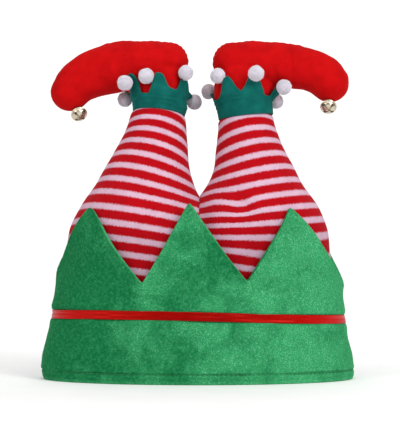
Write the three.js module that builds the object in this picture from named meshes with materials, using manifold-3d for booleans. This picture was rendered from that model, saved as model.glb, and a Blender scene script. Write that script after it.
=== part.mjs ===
// Elf legs hat: velvet shorts worn as a hat, with two stuffed striped legs kicking up out of them.
// Each ankle has a felt collar with pompoms, and each curled felt shoe has a jingle bell on its toe.
// Millimetres, +Z up. The hat stands on its rim at z = 0 about the origin and its front faces -Y.

import * as THREE from "three";
import { mergeVertices } from "three/addons/utils/BufferGeometryUtils.js";
import Module from "manifold-3d";

// Cloth thicknesses and the gap left between layers
const LAYER_GAP = 0.7;
const SEWN_GAP = 0.3;
const VELVET_WALL = 2.2;
const LEG_SKIRT_WALL = 2.5;
const LINING_WALL = 1.2;
const FELT_WALL = 1.6;
const RIBBON_WALL = 1.0;

// Heights of the seams and edges on the shorts
const HEM_HEIGHT = 8;
const HEM_ROUNDING = 1.2;
const RIBBON_MIDDLE = 50.5;
const RIBBON_WIDTH = 7.8;
const RIBBON_GROOVE = 1.2;
const LEG_BOTTOM = 60;
const POINTS_START = 64;
const POINTS_STAND_OFF = 2;

// The head hollow: the lining runs straight up to its shoulder and closes in a dome
const LINING_SHOULDER = 72;
const DOME_TOP = 118;
const DOME_FULLNESS = 2.3;

// The ankle, where leg, collar and shoe meet, tips back and in towards the other leg
const ANKLE_HEIGHT = 221;
const ANKLE_PITCH = THREE.MathUtils.degToRad(7);
const ANKLE_ROLL = THREE.MathUtils.degToRad(7.5);
const LEGS_PART_AT = 147.5;

// Collar, pompoms and bells
const COLLAR_RADIUS = 23.4;
const COLLAR_FLARE = 0.18;
const SHAFT_RADIUS = 21.6;
const SHAFT_HEIGHT = 34;
const POMPOM_RADIUS = 6.6;
const POMPOM_LOCK_DEPTH = 0.85;
const BELL_RADIUS = 6.6;
const BELL_HALF_HEIGHT = 4.4;
const BELL_WALL = 0.8;
const BELL_SLOT = 1.3;
const BELL_LOOP_RADIUS = 1.3;
const BELL_LOOP_WIRE = 0.45;
// The loop leans on the toe, so the bell sits this much closer than the loop is long
const BELL_TUCK = 0.7;
const FOOT_DEPTH_SHARE = 0.96;

// How each toe is bent: how far down and out it goes, and how far its bell sits back in under it
const TOE = {
  left: { drop: 4, reach: 4, bellBack: 0.55 },
  right: { drop: -4, reach: 1.5, bellBack: 0.2 },
};

// How finely the surfaces are cut
const COLUMNS_PER_EDGE = 5;
const COLLAR_COLUMNS_PER_EDGE = 3;
const LEG_COLUMNS = 30;
const FOOT_COLUMNS = 20;
const LINING_COLUMNS = 28;

// The stuffed form from rim to ankle. Each leg is half of it: an ellipse whose middle stands off by
// straight, so front and back run flat across the middle. Lean is towards the back, sway to the right.
const TROUSERS = [
  { height: 0, straight: 0, halfWidth: 123.8, halfDepth: 63.2, lean: 0, sway: 0 },
  { height: 15.5, straight: 0, halfWidth: 124.2, halfDepth: 63.0, lean: 0, sway: 0 },
  { height: 35.5, straight: 0, halfWidth: 120.0, halfDepth: 61.4, lean: 0, sway: 0 },
  { height: 49.5, straight: 0, halfWidth: 117.0, halfDepth: 59.8, lean: 0, sway: 0 },
  { height: 63.5, straight: 2, halfWidth: 114.2, halfDepth: 58.7, lean: 0, sway: 0 },
  { height: 78.5, straight: 9, halfWidth: 104.6, halfDepth: 57.4, lean: 0, sway: 0 },
  { height: 93.5, straight: 18, halfWidth: 91.8, halfDepth: 55.8, lean: 0, sway: 0.1 },
  { height: 107.5, straight: 29, halfWidth: 78.4, halfDepth: 53.8, lean: 0, sway: 0.3 },
  { height: 122.5, straight: 39, halfWidth: 66.0, halfDepth: 51.0, lean: 0, sway: 0.5 },
  { height: 135.5, straight: 44.4, halfWidth: 55.4, halfDepth: 48.0, lean: 0, sway: 0.7 },
  { height: 147.5, straight: 46.2, halfWidth: 46.7, halfDepth: 44.2, lean: 0.5, sway: 1.0 },
  { height: 159.5, straight: 45.2, halfWidth: 39.2, halfDepth: 39.0, lean: 1.5, sway: 1.4 },
  { height: 173.5, straight: 43.2, halfWidth: 33.1, halfDepth: 33.4, lean: 3, sway: 1.9 },
  { height: 191.5, straight: 39.0, halfWidth: 27.4, halfDepth: 27.8, lean: 5.5, sway: 2.5 },
  { height: 207.5, straight: 36.6, halfWidth: 23.8, halfDepth: 24.0, lean: 7.8, sway: 2.9 },
  { height: 221, straight: 35.5, halfWidth: 22.1, halfDepth: 22.1, lean: 9.5, sway: 3.2 },
];

// The shorts' zigzag edge. Places are shares of the way round from the middle of the front, to the right.
const SHORTS_POINTS = [
  { tipAt: -0.016, tipHeight: 142, notchAt: 0.068, notchHeight: 81.5 },
  { tipAt: 0.143, tipHeight: 138.5, notchAt: 0.243, notchHeight: 76.5 },
  { tipAt: 0.335, tipHeight: 139.5, notchAt: 0.417, notchHeight: 80.5 },
  { tipAt: 0.5, tipHeight: 141.5, notchAt: 0.583, notchHeight: 80.5 },
  { tipAt: 0.667, tipHeight: 139.5, notchAt: 0.757, notchHeight: 86 },
  { tipAt: 0.82, tipHeight: 139, notchAt: 0.922, notchHeight: 79.7 },
];

// How far each collar hangs down over the leg
const COLLAR_DROP = { left: 2.3, right: 7.3 };

// Each collar's points. Angle is from the front, outwards; a point stands on the band and bends outwards.
// A pompom sits on the outer face of its point's tip, or where ball says: angle, reach and rise.
const COLLAR_POINTS = {
  left: [
    { angle: -48, band: 13, length: 9.5, bend: 8, ball: [-48, 24.9, 29.9] },
    { angle: 7, band: 12, length: 13, bend: 10, ball: [29, 26.6, 21.6] },
    { angle: 54, band: 7, length: 19, bend: 70 },
    { angle: 120, band: 5, length: 19, bend: 94 },
    { angle: 180, band: 9, length: 14, bend: 95 },
    { angle: 236, band: 12, length: 14, bend: 80 },
  ],
  right: [
    { angle: -28, band: 11, length: 14, bend: 12, ball: [-47, 26.4, 27] },
    { angle: 20, band: 11, length: 14, bend: 20, ball: [20, 32.7, 22.2] },
    { angle: 63, band: 4, length: 21, bend: 80 },
    { angle: 123, band: 6, length: 16, bend: 98 },
    { angle: 180, band: 9, length: 14, bend: 95 },
    { angle: 231, band: 17.5, length: 15, bend: 55 },
  ],
};

// The shoe's foot from heel to toe, in the ankle's own frame: out along the foot, up, and its radius
const FOOT = [
  { out: -3.4, up: 40.4, radius: 17.4 },
  { out: 13.9, up: 36.6, radius: 19.4 },
  { out: 34.2, up: 32.6, radius: 19.9 },
  { out: 52.4, up: 26.4, radius: 18.8 },
  { out: 65.2, up: 18.0, radius: 17.6 },
  { out: 71.2, up: 9.4, radius: 16.4 },
];

const material = (color, roughness, metalness = 0) =>
  new THREE.MeshStandardMaterial({ color, roughness, metalness });
const GREEN_VELVET = material(0x2f8f58, 0.9);
const RED_SATIN = material(0xa31a18, 0.4);
const NAVY_COTTON = material(0x17171c, 0.9);
const STRIPED_FLEECE = material(0xcd5f74, 0.95);
const TEAL_FELT = material(0x16615a, 0.95);
const RED_FELT = material(0xc81518, 0.95);
const WHITE_POMPOM = material(0xe2dae9, 0.95);
const PALE_BRASS = material(0xc9b98c, 0.3, 1);

const wasm = await Module();
wasm.setup();

// Geometry to solid and back, for joining and cutting
function weld(geometry) {
  geometry.deleteAttribute("normal");
  geometry.deleteAttribute("uv");
  return mergeVertices(geometry, 1e-4);
}

function toSolid(geometry) {
  const merged = weld(geometry);
  const vertProperties = new Float32Array(merged.attributes.position.array);
  const triVerts = new Uint32Array(merged.index.array);
  return new wasm.Manifold(new wasm.Mesh({ numProp: 3, vertProperties, triVerts }));
}

function toGeometry(solid) {
  const mesh = solid.getMesh();
  const geometry = new THREE.BufferGeometry();
  geometry.setAttribute("position", new THREE.BufferAttribute(mesh.vertProperties, 3));
  geometry.setIndex(new THREE.BufferAttribute(mesh.triVerts, 1));
  return geometry;
}

// A smooth curve through each column of a table, read at any value of its first column
function smoothTable(rows) {
  const [key, ...columns] = Object.keys(rows[0]);
  const curve = new THREE.CubicInterpolant(
    rows.map((row) => row[key]),
    rows.flatMap((row) => columns.map((column) => row[column])),
    columns.length,
  );
  return (place) => {
    const values = [...curve.evaluate(place)];
    return Object.fromEntries(columns.map((column, i) => [column, values[i]]));
  };
}

const trousersAt = smoothTable(TROUSERS);

// A closed skin over rings of points that run anticlockwise, seen from the end the rings climb to.
// A tube gets a fan over each end; a sleeve joins its last ring back to its first.
function skin(rings, sleeve = false) {
  const around = rings[0].length;
  const points = rings.flat();
  const faces = [];
  const bands = sleeve ? rings.length : rings.length - 1;
  for (let band = 0; band < bands; band++) {
    const low = band * around;
    const high = ((band + 1) % rings.length) * around;
    for (let i = 0; i < around; i++) {
      const next = (i + 1) % around;
      faces.push(low + i, low + next, high + next, low + i, high + next, high + i);
    }
  }
  if (!sleeve) {
    const last = points.length - around;
    const middles = [rings[0], rings.at(-1)].map((ring) =>
      ring.reduce((sum, p) => sum.add(p), new THREE.Vector3()).divideScalar(around),
    );
    for (let i = 0; i < around; i++) {
      const next = (i + 1) % around;
      faces.push(points.length, next, i);
      faces.push(points.length + 1, last + i, last + next);
    }
    points.push(...middles);
  }
  return new THREE.BufferGeometry().setFromPoints(points).setIndex(faces);
}

// The outline of the hips at one height, offset out from the stuffed form, as a path from the front
function hipOutline(height, offset, size = 1) {
  const { straight, halfWidth, halfDepth } = trousersAt(height);
  const flat = straight * size;
  const wide = (halfWidth + offset) * size;
  const deep = (halfDepth + offset) * size;
  const outline = new THREE.Path();
  outline.moveTo(0, -deep);
  outline.lineTo(flat, -deep);
  outline.absellipse(flat, 0, wide, deep, -Math.PI / 2, Math.PI / 2);
  outline.lineTo(-flat, deep);
  outline.absellipse(-flat, 0, wide, deep, Math.PI / 2, Math.PI * 1.5);
  outline.lineTo(0, -deep);
  return outline;
}

function hipPoint(share, height, offset) {
  const { lean, sway } = trousersAt(height);
  const { x, y } = hipOutline(height, offset).getPoint(THREE.MathUtils.euclideanModulo(share, 1));
  return new THREE.Vector3(x + sway, y + lean, height);
}

// Columns of cloth round the shorts, each with its place and the height of the zigzag edge above it
const shortsColumns = SHORTS_POINTS.flatMap((point, i) => {
  const before = SHORTS_POINTS.at(i - 1);
  const start = before.notchAt - (i === 0 ? 1 : 0);
  return Array.from({ length: 2 * COLUMNS_PER_EDGE }, (_, k) => {
    const rise = k / COLUMNS_PER_EDGE;
    return rise < 1
      ? {
          at: THREE.MathUtils.lerp(start, point.tipAt, rise),
          top: THREE.MathUtils.lerp(before.notchHeight, point.tipHeight, rise),
        }
      : {
          at: THREE.MathUtils.lerp(point.tipAt, point.notchAt, rise - 1),
          top: THREE.MathUtils.lerp(point.tipHeight, point.notchHeight, rise - 1),
        };
  });
});

const levelRing = (height, offset) => shortsColumns.map(({ at }) => hipPoint(at, height, offset));

// Shorts: an outer face from hem to zigzag edge and an inner face back down, joined into one sleeve
function makeShorts() {
  const outside = LAYER_GAP + VELVET_WALL;
  const inside = LAYER_GAP;
  const hemInside = outside - 2 * VELVET_WALL;
  const groove = outside - RIBBON_GROOVE;
  const grooveLow = RIBBON_MIDDLE - RIBBON_WIDTH / 2 - SEWN_GAP;
  const grooveHigh = RIBBON_MIDDLE + RIBBON_WIDTH / 2 + SEWN_GAP;
  const climb = (share, offset) =>
    shortsColumns.map(({ at, top }) => {
      const height = THREE.MathUtils.lerp(POINTS_START, top, share);
      return hipPoint(at, height, offset + POINTS_STAND_OFF * share);
    });
  return skin(
    [
      levelRing(0, outside - HEM_ROUNDING),
      levelRing(HEM_ROUNDING, outside),
      levelRing(14, outside),
      levelRing(30, outside),
      levelRing(grooveLow - 0.5, outside),
      levelRing(grooveLow, groove),
      levelRing(grooveHigh, groove),
      levelRing(grooveHigh + 0.5, outside),
      ...[0, 0.28, 0.54, 0.78, 1].map((share) => climb(share, outside)),
      ...[1, 0.78, 0.54, 0.28, 0].map((share) => climb(share, inside)),
      levelRing(34, inside),
      levelRing(HEM_HEIGHT + 0.8, inside),
      levelRing(HEM_HEIGHT, hemInside),
      levelRing(0, hemInside),
    ],
    true,
  );
}

// Ribbon belt: a flat band laid in the groove round the shorts
function makeRibbon() {
  const inner = LAYER_GAP + VELVET_WALL - RIBBON_GROOVE + SEWN_GAP;
  const low = RIBBON_MIDDLE - RIBBON_WIDTH / 2;
  const high = RIBBON_MIDDLE + RIBBON_WIDTH / 2;
  return skin(
    [
      levelRing(low, inner + RIBBON_WALL),
      levelRing(high, inner + RIBBON_WALL),
      levelRing(high, inner),
      levelRing(low, inner),
    ],
    true,
  );
}

// One face of the head hollow, from its bottom edge to the crown of the dome
function hollowRings(bottom, grow) {
  const upper = -(LEG_SKIRT_WALL + LAYER_GAP);
  const lay = (height) =>
    grow + THREE.MathUtils.mapLinear(Math.min(height, LEG_BOTTOM), 0, LEG_BOTTOM, -LINING_WALL, upper);
  const ring = (outline, height) =>
    Array.from({ length: LINING_COLUMNS }, (_, i) => {
      const { x, y } = outline.getPoint(i / LINING_COLUMNS);
      return new THREE.Vector3(x, y, height);
    });
  const walls = [bottom, 30, LEG_BOTTOM, LINING_SHOULDER].map((height) =>
    ring(hipOutline(height, lay(height)), height),
  );
  const dome = [0.35, 0.62, 0.8, 0.92, 0.985].map((rise) => {
    const size = (1 - rise ** DOME_FULLNESS) ** (1 / DOME_FULLNESS);
    const height = THREE.MathUtils.lerp(LINING_SHOULDER, DOME_TOP + grow, rise);
    return ring(hipOutline(LINING_SHOULDER, lay(LINING_SHOULDER), size), height);
  });
  return [...walls, ...dome];
}

function makeLining() {
  const bottom = HEM_HEIGHT + SEWN_GAP;
  const outer = hollowRings(bottom, 0);
  const inner = hollowRings(bottom, -LINING_WALL);
  return skin([...inner.reverse(), ...outer]);
}

// Legs: level ellipses at the hips that swing square to the ankle, kept to their own side of the
// middle and hollowed over the dome
const hollowCutter = toSolid(skin(hollowRings(LEG_BOTTOM - 5, LAYER_GAP)));

function makeLeg(side) {
  const heights = [LEG_BOTTOM, 70, 82, 96, 110, 124, 136, 145, 152, 160, 170, 182, 195, 208];
  const rings = [...heights, ANKLE_HEIGHT - SEWN_GAP].map((height) => {
    const { straight, halfWidth, halfDepth, lean, sway } = trousersAt(height);
    const swing = THREE.MathUtils.smoothstep(height, LEGS_PART_AT, ANKLE_HEIGHT);
    const tilt = new THREE.Euler(-ANKLE_PITCH * swing, -ANKLE_ROLL * swing, 0);
    const ring = Array.from({ length: LEG_COLUMNS }, (_, i) => {
      const turn = ((i + 0.5) / LEG_COLUMNS) * Math.PI * 2;
      const spoke = new THREE.Vector3(Math.cos(turn) * halfWidth, Math.sin(turn) * halfDepth, 0);
      spoke.applyEuler(tilt);
      const x = Math.max(straight + spoke.x, SEWN_GAP / 2);
      return new THREE.Vector3(side * x + sway, spoke.y + lean, spoke.z + height);
    });
    return side > 0 ? ring : ring.reverse();
  });
  return toGeometry(toSolid(skin(rings)).subtract(hollowCutter));
}

// Collar: a felt band whose strips bend outwards, laid out as a height and a reach at each column
function collarStrip(angle, band, length, bend, along, offset) {
  const climb = Math.min(along, band);
  const past = Math.max(along - band, 0);
  const curl = bend / length;
  const turn = past * curl;
  const flare = COLLAR_FLARE * Math.max(-along, 0);
  const reach = COLLAR_RADIUS + flare + (1 - Math.cos(turn)) / curl + Math.cos(turn) * offset;
  const rise = climb + Math.sin(turn) / curl - Math.sin(turn) * offset;
  return new THREE.Vector3(Math.sin(angle) * reach, -Math.cos(angle) * reach, rise);
}

function makeCollar(points, drop) {
  const radians = THREE.MathUtils.degToRad;
  const columns = points.flatMap((point, i) => {
    const before = points.at(i - 1);
    const after = points[(i + 1) % points.length];
    const steps = 2 * COLLAR_COLUMNS_PER_EDGE;
    return Array.from({ length: steps }, (_, k) => {
      const near = 1 - Math.abs(k / COLLAR_COLUMNS_PER_EDGE - 1);
      const other = k < COLLAR_COLUMNS_PER_EDGE ? before : after;
      const wrap = 360 * (k < COLLAR_COLUMNS_PER_EDGE ? -(i === 0) : +(after === points[0]));
      const share = 0.5 + near / 2;
      const blend = (column) => THREE.MathUtils.lerp(other[column], point[column], share);
      return {
        angle: radians(THREE.MathUtils.lerp(other.angle + wrap, point.angle, share)),
        band: blend("band"),
        full: blend("length"),
        length: Math.max(0.5, point.length * near ** 1.2),
        bend: radians(blend("bend")),
      };
    });
  });
  const ring = (share, offset) =>
    columns.map(({ angle, band, full, length, bend }) =>
      collarStrip(angle, band, full, bend, share < 0 ? -drop : band + share * length, offset),
    );
  const outer = [-1, 0, 0.5, 1].map((share) => ring(share, FELT_WALL / 2));
  const inner = [1, 0.5, 0, -1].map((share) => ring(share, -FELT_WALL / 2));
  return skin([...outer, ...inner], true);
}

// Where a pompom sits: against the outer face of a point's tip, or at its own place beside it
function pompomPlace({ angle, band, length, bend, ball }) {
  const off = FELT_WALL / 2 + 2 * SEWN_GAP + POMPOM_RADIUS;
  const { degToRad } = THREE.MathUtils;
  if (ball) {
    const [turn, reach, rise] = ball;
    return new THREE.Vector3(Math.sin(degToRad(turn)) * reach, -Math.cos(degToRad(turn)) * reach, rise);
  }
  return collarStrip(degToRad(angle), band, length, degToRad(bend), band + length, off);
}

// Pompom: a ball of blunt locks, one round each corner and one on each face of an icosahedron
function makePompom() {
  const corners = new THREE.IcosahedronGeometry(1, 0).attributes.position;
  const corner = new THREE.Vector3();
  const ball = weld(new THREE.IcosahedronGeometry(1, 2));
  const places = ball.attributes.position;
  const place = new THREE.Vector3();
  for (let i = 0; i < places.count; i++) {
    place.fromBufferAttribute(places, i);
    let nearest = 0;
    for (let k = 0; k < corners.count; k++) {
      nearest = Math.max(nearest, place.dot(corner.fromBufferAttribute(corners, k).normalize()));
    }
    const between = nearest > 0.85 && nearest < 0.99;
    place.multiplyScalar(POMPOM_RADIUS * (between ? POMPOM_LOCK_DEPTH : 1));
    places.setXYZ(i, place.x, place.y, place.z);
  }
  return ball;
}

// Shoe: a foot swept from round heel to drooping toe, joined to the shaft that drops into the collar
function footSpine({ drop, reach }) {
  const points = FOOT.map(({ out, up }) => {
    const far = Math.max(0, (out - FOOT[1].out) / (FOOT.at(-1).out - FOOT[1].out));
    return new THREE.Vector3(out + reach * far, 0, up - drop * far ** 2);
  });
  return new THREE.CatmullRomCurve3(points);
}

function makeShoe(toe) {
  const spine = footSpine(toe);
  const radiusAt = smoothTable(FOOT.map(({ radius }, i) => ({ share: i / (FOOT.length - 1), radius })));
  const circle = (share, tuck) => {
    const middle = spine.getPoint(share);
    const ahead = spine.getTangent(share);
    const { radius } = radiusAt(share);
    middle.addScaledVector(ahead, Math.sin(tuck) * radius);
    const size = Math.cos(tuck) * radius;
    return Array.from({ length: FOOT_COLUMNS }, (_, i) => {
      const turn = (i / FOOT_COLUMNS) * Math.PI * 2;
      const rise = Math.sin(turn) * size;
      const deep = Math.cos(turn) * size * FOOT_DEPTH_SHARE;
      return new THREE.Vector3(middle.x - ahead.z * rise, deep, middle.z + ahead.x * rise);
    });
  };
  const tucks = [78, 55, 28].map(THREE.MathUtils.degToRad);
  const foot = skin([
    ...tucks.map((tuck) => circle(0, -tuck)),
    ...[0, 0.2, 0.4, 0.6, 0.75, 0.88, 1].map((share) => circle(share, 0)),
    ...tucks.toReversed().map((tuck) => circle(1, tuck)),
  ]);
  const shaft = new THREE.CylinderGeometry(SHAFT_RADIUS * 0.8, SHAFT_RADIUS, SHAFT_HEIGHT, FOOT_COLUMNS);
  shaft.rotateX(Math.PI / 2);
  shaft.translate(0, 0, SHAFT_HEIGHT / 2);
  return toGeometry(toSolid(foot).add(toSolid(shaft)));
}

// Bell: two thin flat bowls with crossed slots below and a wire loop on top to sew it on by
function makeBell() {
  const bowls = (inset, columns, rows) => {
    const globe = new THREE.SphereGeometry(1, columns, rows).rotateX(Math.PI / 2);
    return toSolid(globe.scale(BELL_RADIUS - inset, BELL_RADIUS - inset, BELL_HALF_HEIGHT - inset));
  };
  const ball = bowls(0, 12, 8);
  const hollow = bowls(BELL_WALL, 10, 6);
  const loop = new THREE.TorusGeometry(BELL_LOOP_RADIUS, BELL_LOOP_WIRE, 5, 8).rotateX(Math.PI / 2);
  loop.translate(0, 0, BELL_HALF_HEIGHT - BELL_LOOP_WIRE);
  let bell = ball.add(toSolid(loop)).subtract(hollow);
  for (const turn of [0, Math.PI / 2]) {
    const slot = new THREE.BoxGeometry(BELL_RADIUS * 3, BELL_SLOT, BELL_RADIUS);
    slot.translate(0, 0, -BELL_RADIUS / 2 - BELL_SLOT);
    slot.rotateZ(turn);
    bell = bell.subtract(toSolid(slot));
  }
  return toGeometry(bell);
}

const hat = new THREE.Group();

function addPart(parent, name, geometry, stuff) {
  const mesh = new THREE.Mesh(geometry, stuff);
  mesh.name = name;
  parent.add(mesh);
  return mesh;
}

addPart(hat, "shorts", makeShorts(), GREEN_VELVET);
addPart(hat, "ribbon_belt", makeRibbon(), RED_SATIN);
addPart(hat, "lining", makeLining(), NAVY_COTTON);

for (const [name, side] of [["left", -1], ["right", 1]]) {
  addPart(hat, `leg_${name}`, makeLeg(side), STRIPED_FLEECE);

  const { straight, lean, sway } = trousersAt(ANKLE_HEIGHT);
  const ankle = new THREE.Group();
  ankle.position.set(side * straight + sway, lean, ANKLE_HEIGHT);
  ankle.rotation.set(-ANKLE_PITCH, -side * ANKLE_ROLL, 0);
  ankle.scale.x = side;
  hat.add(ankle);

  addPart(ankle, `collar_${name}`, makeCollar(COLLAR_POINTS[name], COLLAR_DROP[name]), TEAL_FELT);
  addPart(ankle, `shoe_${name}`, makeShoe(TOE[name]), RED_FELT);
  COLLAR_POINTS[name].forEach((point, i) => {
    const pompom = addPart(ankle, `pompom_${name}_${i + 1}`, makePompom(), WHITE_POMPOM);
    pompom.position.copy(pompomPlace(point));
    pompom.rotation.set(i, 2 * i, 0);
  });

  const toe = footSpine(TOE[name]).getPoint(1);
  const hang = new THREE.Vector3(-TOE[name].bellBack, -0.15, -0.97).normalize();
  const face = new THREE.Vector3(-0.6 * TOE[name].bellBack, -0.72, -0.66).normalize();
  const toeRadius = FOOT.at(-1).radius;
  const bell = addPart(ankle, `bell_${name}`, makeBell(), PALE_BRASS);
  bell.position.copy(toe).addScaledVector(hang, toeRadius + SEWN_GAP + BELL_LOOP_RADIUS + BELL_HALF_HEIGHT - BELL_TUCK);
  bell.quaternion.setFromUnitVectors(new THREE.Vector3(0, 0, -1), face);
}

export default hat;
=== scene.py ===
# %% [markdown]
# # An elf legs hat, dressed in cloth
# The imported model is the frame: every solid is already at its real size and place, in metres, with the
# rim on the floor, the front towards -Y and the viewer's right along +X. This lesson makes a better
# looking surface for each solid and never moves one. The first cell loads that frame.

import bmesh
import bpy
import numpy as np
from mathutils import Euler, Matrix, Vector


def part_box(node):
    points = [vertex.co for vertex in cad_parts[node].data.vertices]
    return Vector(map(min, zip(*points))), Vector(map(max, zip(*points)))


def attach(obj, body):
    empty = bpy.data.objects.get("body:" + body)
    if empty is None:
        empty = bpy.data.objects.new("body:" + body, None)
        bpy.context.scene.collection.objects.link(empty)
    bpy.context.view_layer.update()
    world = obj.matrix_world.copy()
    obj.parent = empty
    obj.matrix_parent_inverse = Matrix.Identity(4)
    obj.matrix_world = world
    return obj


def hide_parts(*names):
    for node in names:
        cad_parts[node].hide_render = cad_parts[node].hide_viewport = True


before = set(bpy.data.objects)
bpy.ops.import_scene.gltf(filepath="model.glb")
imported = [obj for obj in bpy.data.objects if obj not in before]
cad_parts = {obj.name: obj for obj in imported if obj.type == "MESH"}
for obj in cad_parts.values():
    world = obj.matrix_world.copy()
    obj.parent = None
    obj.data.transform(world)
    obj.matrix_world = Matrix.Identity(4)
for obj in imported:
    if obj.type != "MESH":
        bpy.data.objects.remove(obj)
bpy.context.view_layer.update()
MM = 0.001
SIDES = {"left": -1, "right": 1}

# %% [markdown]
# ## Grids of points
# Nearly every piece here is cloth, and cloth is a sheet that was bent: a surface with two parameters.
# Each piece is worked out as a grid of points in millimetres, whole arrays at a time, and one function
# turns a grid into a mesh. Columns run anticlockwise seen from above and rows climb, so that the faces
# point outwards. A mesh could also be sculpted by hand, but then no size in it would have a name.


# %% Points and faces
def around(columns):
    """Angles evenly spread over a full turn; the end is left out, because it is the start again."""
    return np.linspace(0, 2 * np.pi, columns + 1)[:-1]


def points_of(x, y, z):
    """Three arrays, spread to one shape, as one grid of points."""
    return np.stack(np.broadcast_arrays(x, y, z), -1)


def grid_faces(grid, close_rows=False, close_columns=True, reverse=False):
    """Four-cornered faces between neighbouring rows and columns; a closed side joins last to first."""
    rows, columns = grid.shape[:2]
    index = np.arange(rows * columns).reshape(rows, columns)
    if close_columns:
        index = np.hstack([index, index[:, :1]])
    if close_rows:
        index = np.vstack([index, index[:1]])
    faces = np.stack([index[:-1, :-1], index[:-1, 1:], index[1:, 1:], index[1:, :-1]], -1).reshape(-1, 4)
    return faces[:, ::-1] if reverse else faces


def repeated_faces(tubes, reverse=False):
    """Faces of many small tubes: those of the first, counted on by its number of points for each next one."""
    one = grid_faces(tubes[0], reverse=reverse)
    start = np.arange(len(tubes)) * tubes[0, ..., 0].size
    return (one + start[:, None, None]).reshape(-1, 4)


print("a tube of 3 rows and 8 columns has", len(grid_faces(np.empty((3, 8, 3)))), "faces")

# %% [markdown]
# A finished piece sits at the origin with its place in its mesh, as the solids do. It rides on the hat's one
# body, gets the material it is given, and may stand for a solid, which is then hidden. A ring that was drawn
# in to nothing leaves many points on one spot, so such a piece is welded afterwards.

# %% Objects and pieces
WELD = 0.0001


def new_object(name, data):
    """Puts a mesh, a camera or a lamp into the scene."""
    made = bpy.data.objects.new(name, data)
    bpy.context.scene.collection.objects.link(made)
    return made


def mesh_object(name, points, faces, smooth):
    """An object made of points and faces, shaded smooth or flat."""
    mesh = bpy.data.meshes.new(name)
    mesh.from_pydata(np.reshape(points, (-1, 3)), [], faces)
    mesh.polygons.foreach_set("use_smooth", np.full(len(mesh.polygons), smooth))
    return new_object(name, mesh)


def make_piece(name, points, faces, material, node=None, smooth=True):
    """A mesh of points in millimetres, at the origin, that rides on the hat and may stand for a solid."""
    piece = mesh_object(name, points * MM, faces, smooth)
    piece.data.materials.append(material)
    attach(piece, "root")
    if node:
        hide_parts(node)
    print(f"{name}: {len(piece.data.vertices)} points, {len(piece.data.polygons)} faces")
    return piece


def close_poles(piece):
    """Welds points that lie on one another, so that a ring drawn in to nothing becomes one point."""
    welded = bmesh.new()
    welded.from_mesh(piece.data)
    bmesh.ops.remove_doubles(welded, verts=welded.verts, dist=WELD * MM)
    welded.to_mesh(piece.data)
    welded.free()
    print(f"{piece.name}: {len(piece.data.vertices)} points after welding")


print("weld distance in mm:", WELD)

# %% [markdown]
# ## Soft unevenness
# Cloth and filling are never even. Three small functions give all of it: a smooth step, a hump, and lumps,
# a sum of a few plane waves in random directions. A noise texture would do too, but these lumps move the
# mesh itself, so they also show in the outline. Each use has its own seed, so every run is the same.

# %% Steps, humps and lumps
WAVES = 14


def soft_step(low, high, value):
    """0 below low, 1 above high, and a smooth S between them."""
    t = np.clip((value - low) / (high - low), 0, 1)
    return t * t * (3 - 2 * t)


def hump(value, middle, width):
    """A bell-shaped hump of height 1 at middle."""
    return np.exp(-(((value - middle) / width) ** 2))


def lumps(points, size, seed):
    """Soft bumps between about -1 and 1: the sum of a few plane waves, size apart, in random directions."""
    random = np.random.default_rng(seed)
    direction = random.normal(size=(WAVES, 3))
    direction /= np.linalg.norm(direction, axis=1, keepdims=True)
    pace = 2 * np.pi / (size * random.uniform(0.7, 1.5, WAVES))
    start = random.uniform(0, 2 * np.pi, WAVES)
    return np.sin(points @ (direction * pace[:, None]).T + start).sum(-1) / np.sqrt(WAVES)


def slack(points, table):
    """A sum of lumps: each row of the table gives their height, the size between them and a seed."""
    return sum(height * lumps(points, size, seed) for height, size, seed in table)


print("lumps are sums of", WAVES, "waves")

# %% [markdown]
# ## Camera, floor and light
# The photograph is a level product shot from about 1.3 m, with a long lens, so the hat is hardly distorted.
# The camera stands at the height of the shorts' points and looks up by about one degree, which sets the
# rim near the bottom of the picture. The floor is one pale sheet that curves up into a backdrop: a floor
# and a wall that met in a corner would show a line. Soft light comes from large lamps: one at the right, a
# weaker one at the left, one above and in front, and one that only whitens the backdrop.

# %% Camera
FRAME_WIDTH, FRAME_HEIGHT = 400, 436
FOCAL_PIXELS = 1585
SENSOR = 36
CAMERA_DISTANCE = 1300
CAMERA_HEIGHT = 110
RIM_PIXEL_ROW = 378
MIDDLE_PIXEL_COLUMN = 198.2

camera = new_object("camera", bpy.data.cameras.new("camera"))
camera.data.sensor_width = SENSOR
camera.data.lens = SENSOR * FOCAL_PIXELS / FRAME_HEIGHT
rim_below_axis = FOCAL_PIXELS * CAMERA_HEIGHT / CAMERA_DISTANCE
look_up = np.arctan((RIM_PIXEL_ROW - FRAME_HEIGHT / 2 - rim_below_axis) / FOCAL_PIXELS)
look_left = (FRAME_WIDTH / 2 - MIDDLE_PIXEL_COLUMN) * CAMERA_DISTANCE / FOCAL_PIXELS
camera.location = Vector((look_left, -CAMERA_DISTANCE, CAMERA_HEIGHT)) * MM
camera.rotation_euler = (np.pi / 2 + look_up, 0, 0)
bpy.context.scene.camera = camera
print(f"lens {camera.data.lens:.0f} mm, looking up {np.degrees(look_up):.2f} degrees")

# %% [markdown]
# A material is a small tree of nodes. One function adds a node with its settings and links, and every
# pattern reads the Object coordinate, which is the place on the piece in metres, so a size in millimetres
# can be turned into a scale. A value that is the same all over a surface is set on the shader itself.


# %% Colours and nodes
def linear(hex_colour):
    """An sRGB hex colour as linear red, green, blue and alpha."""
    srgb = np.array([int(hex_colour[i : i + 2], 16) for i in (1, 3, 5)]) / 255
    rgb = np.where(srgb <= 0.04045, srgb / 12.92, ((srgb + 0.055) / 1.055) ** 2.4)
    return (*rgb, 1.0)


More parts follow.
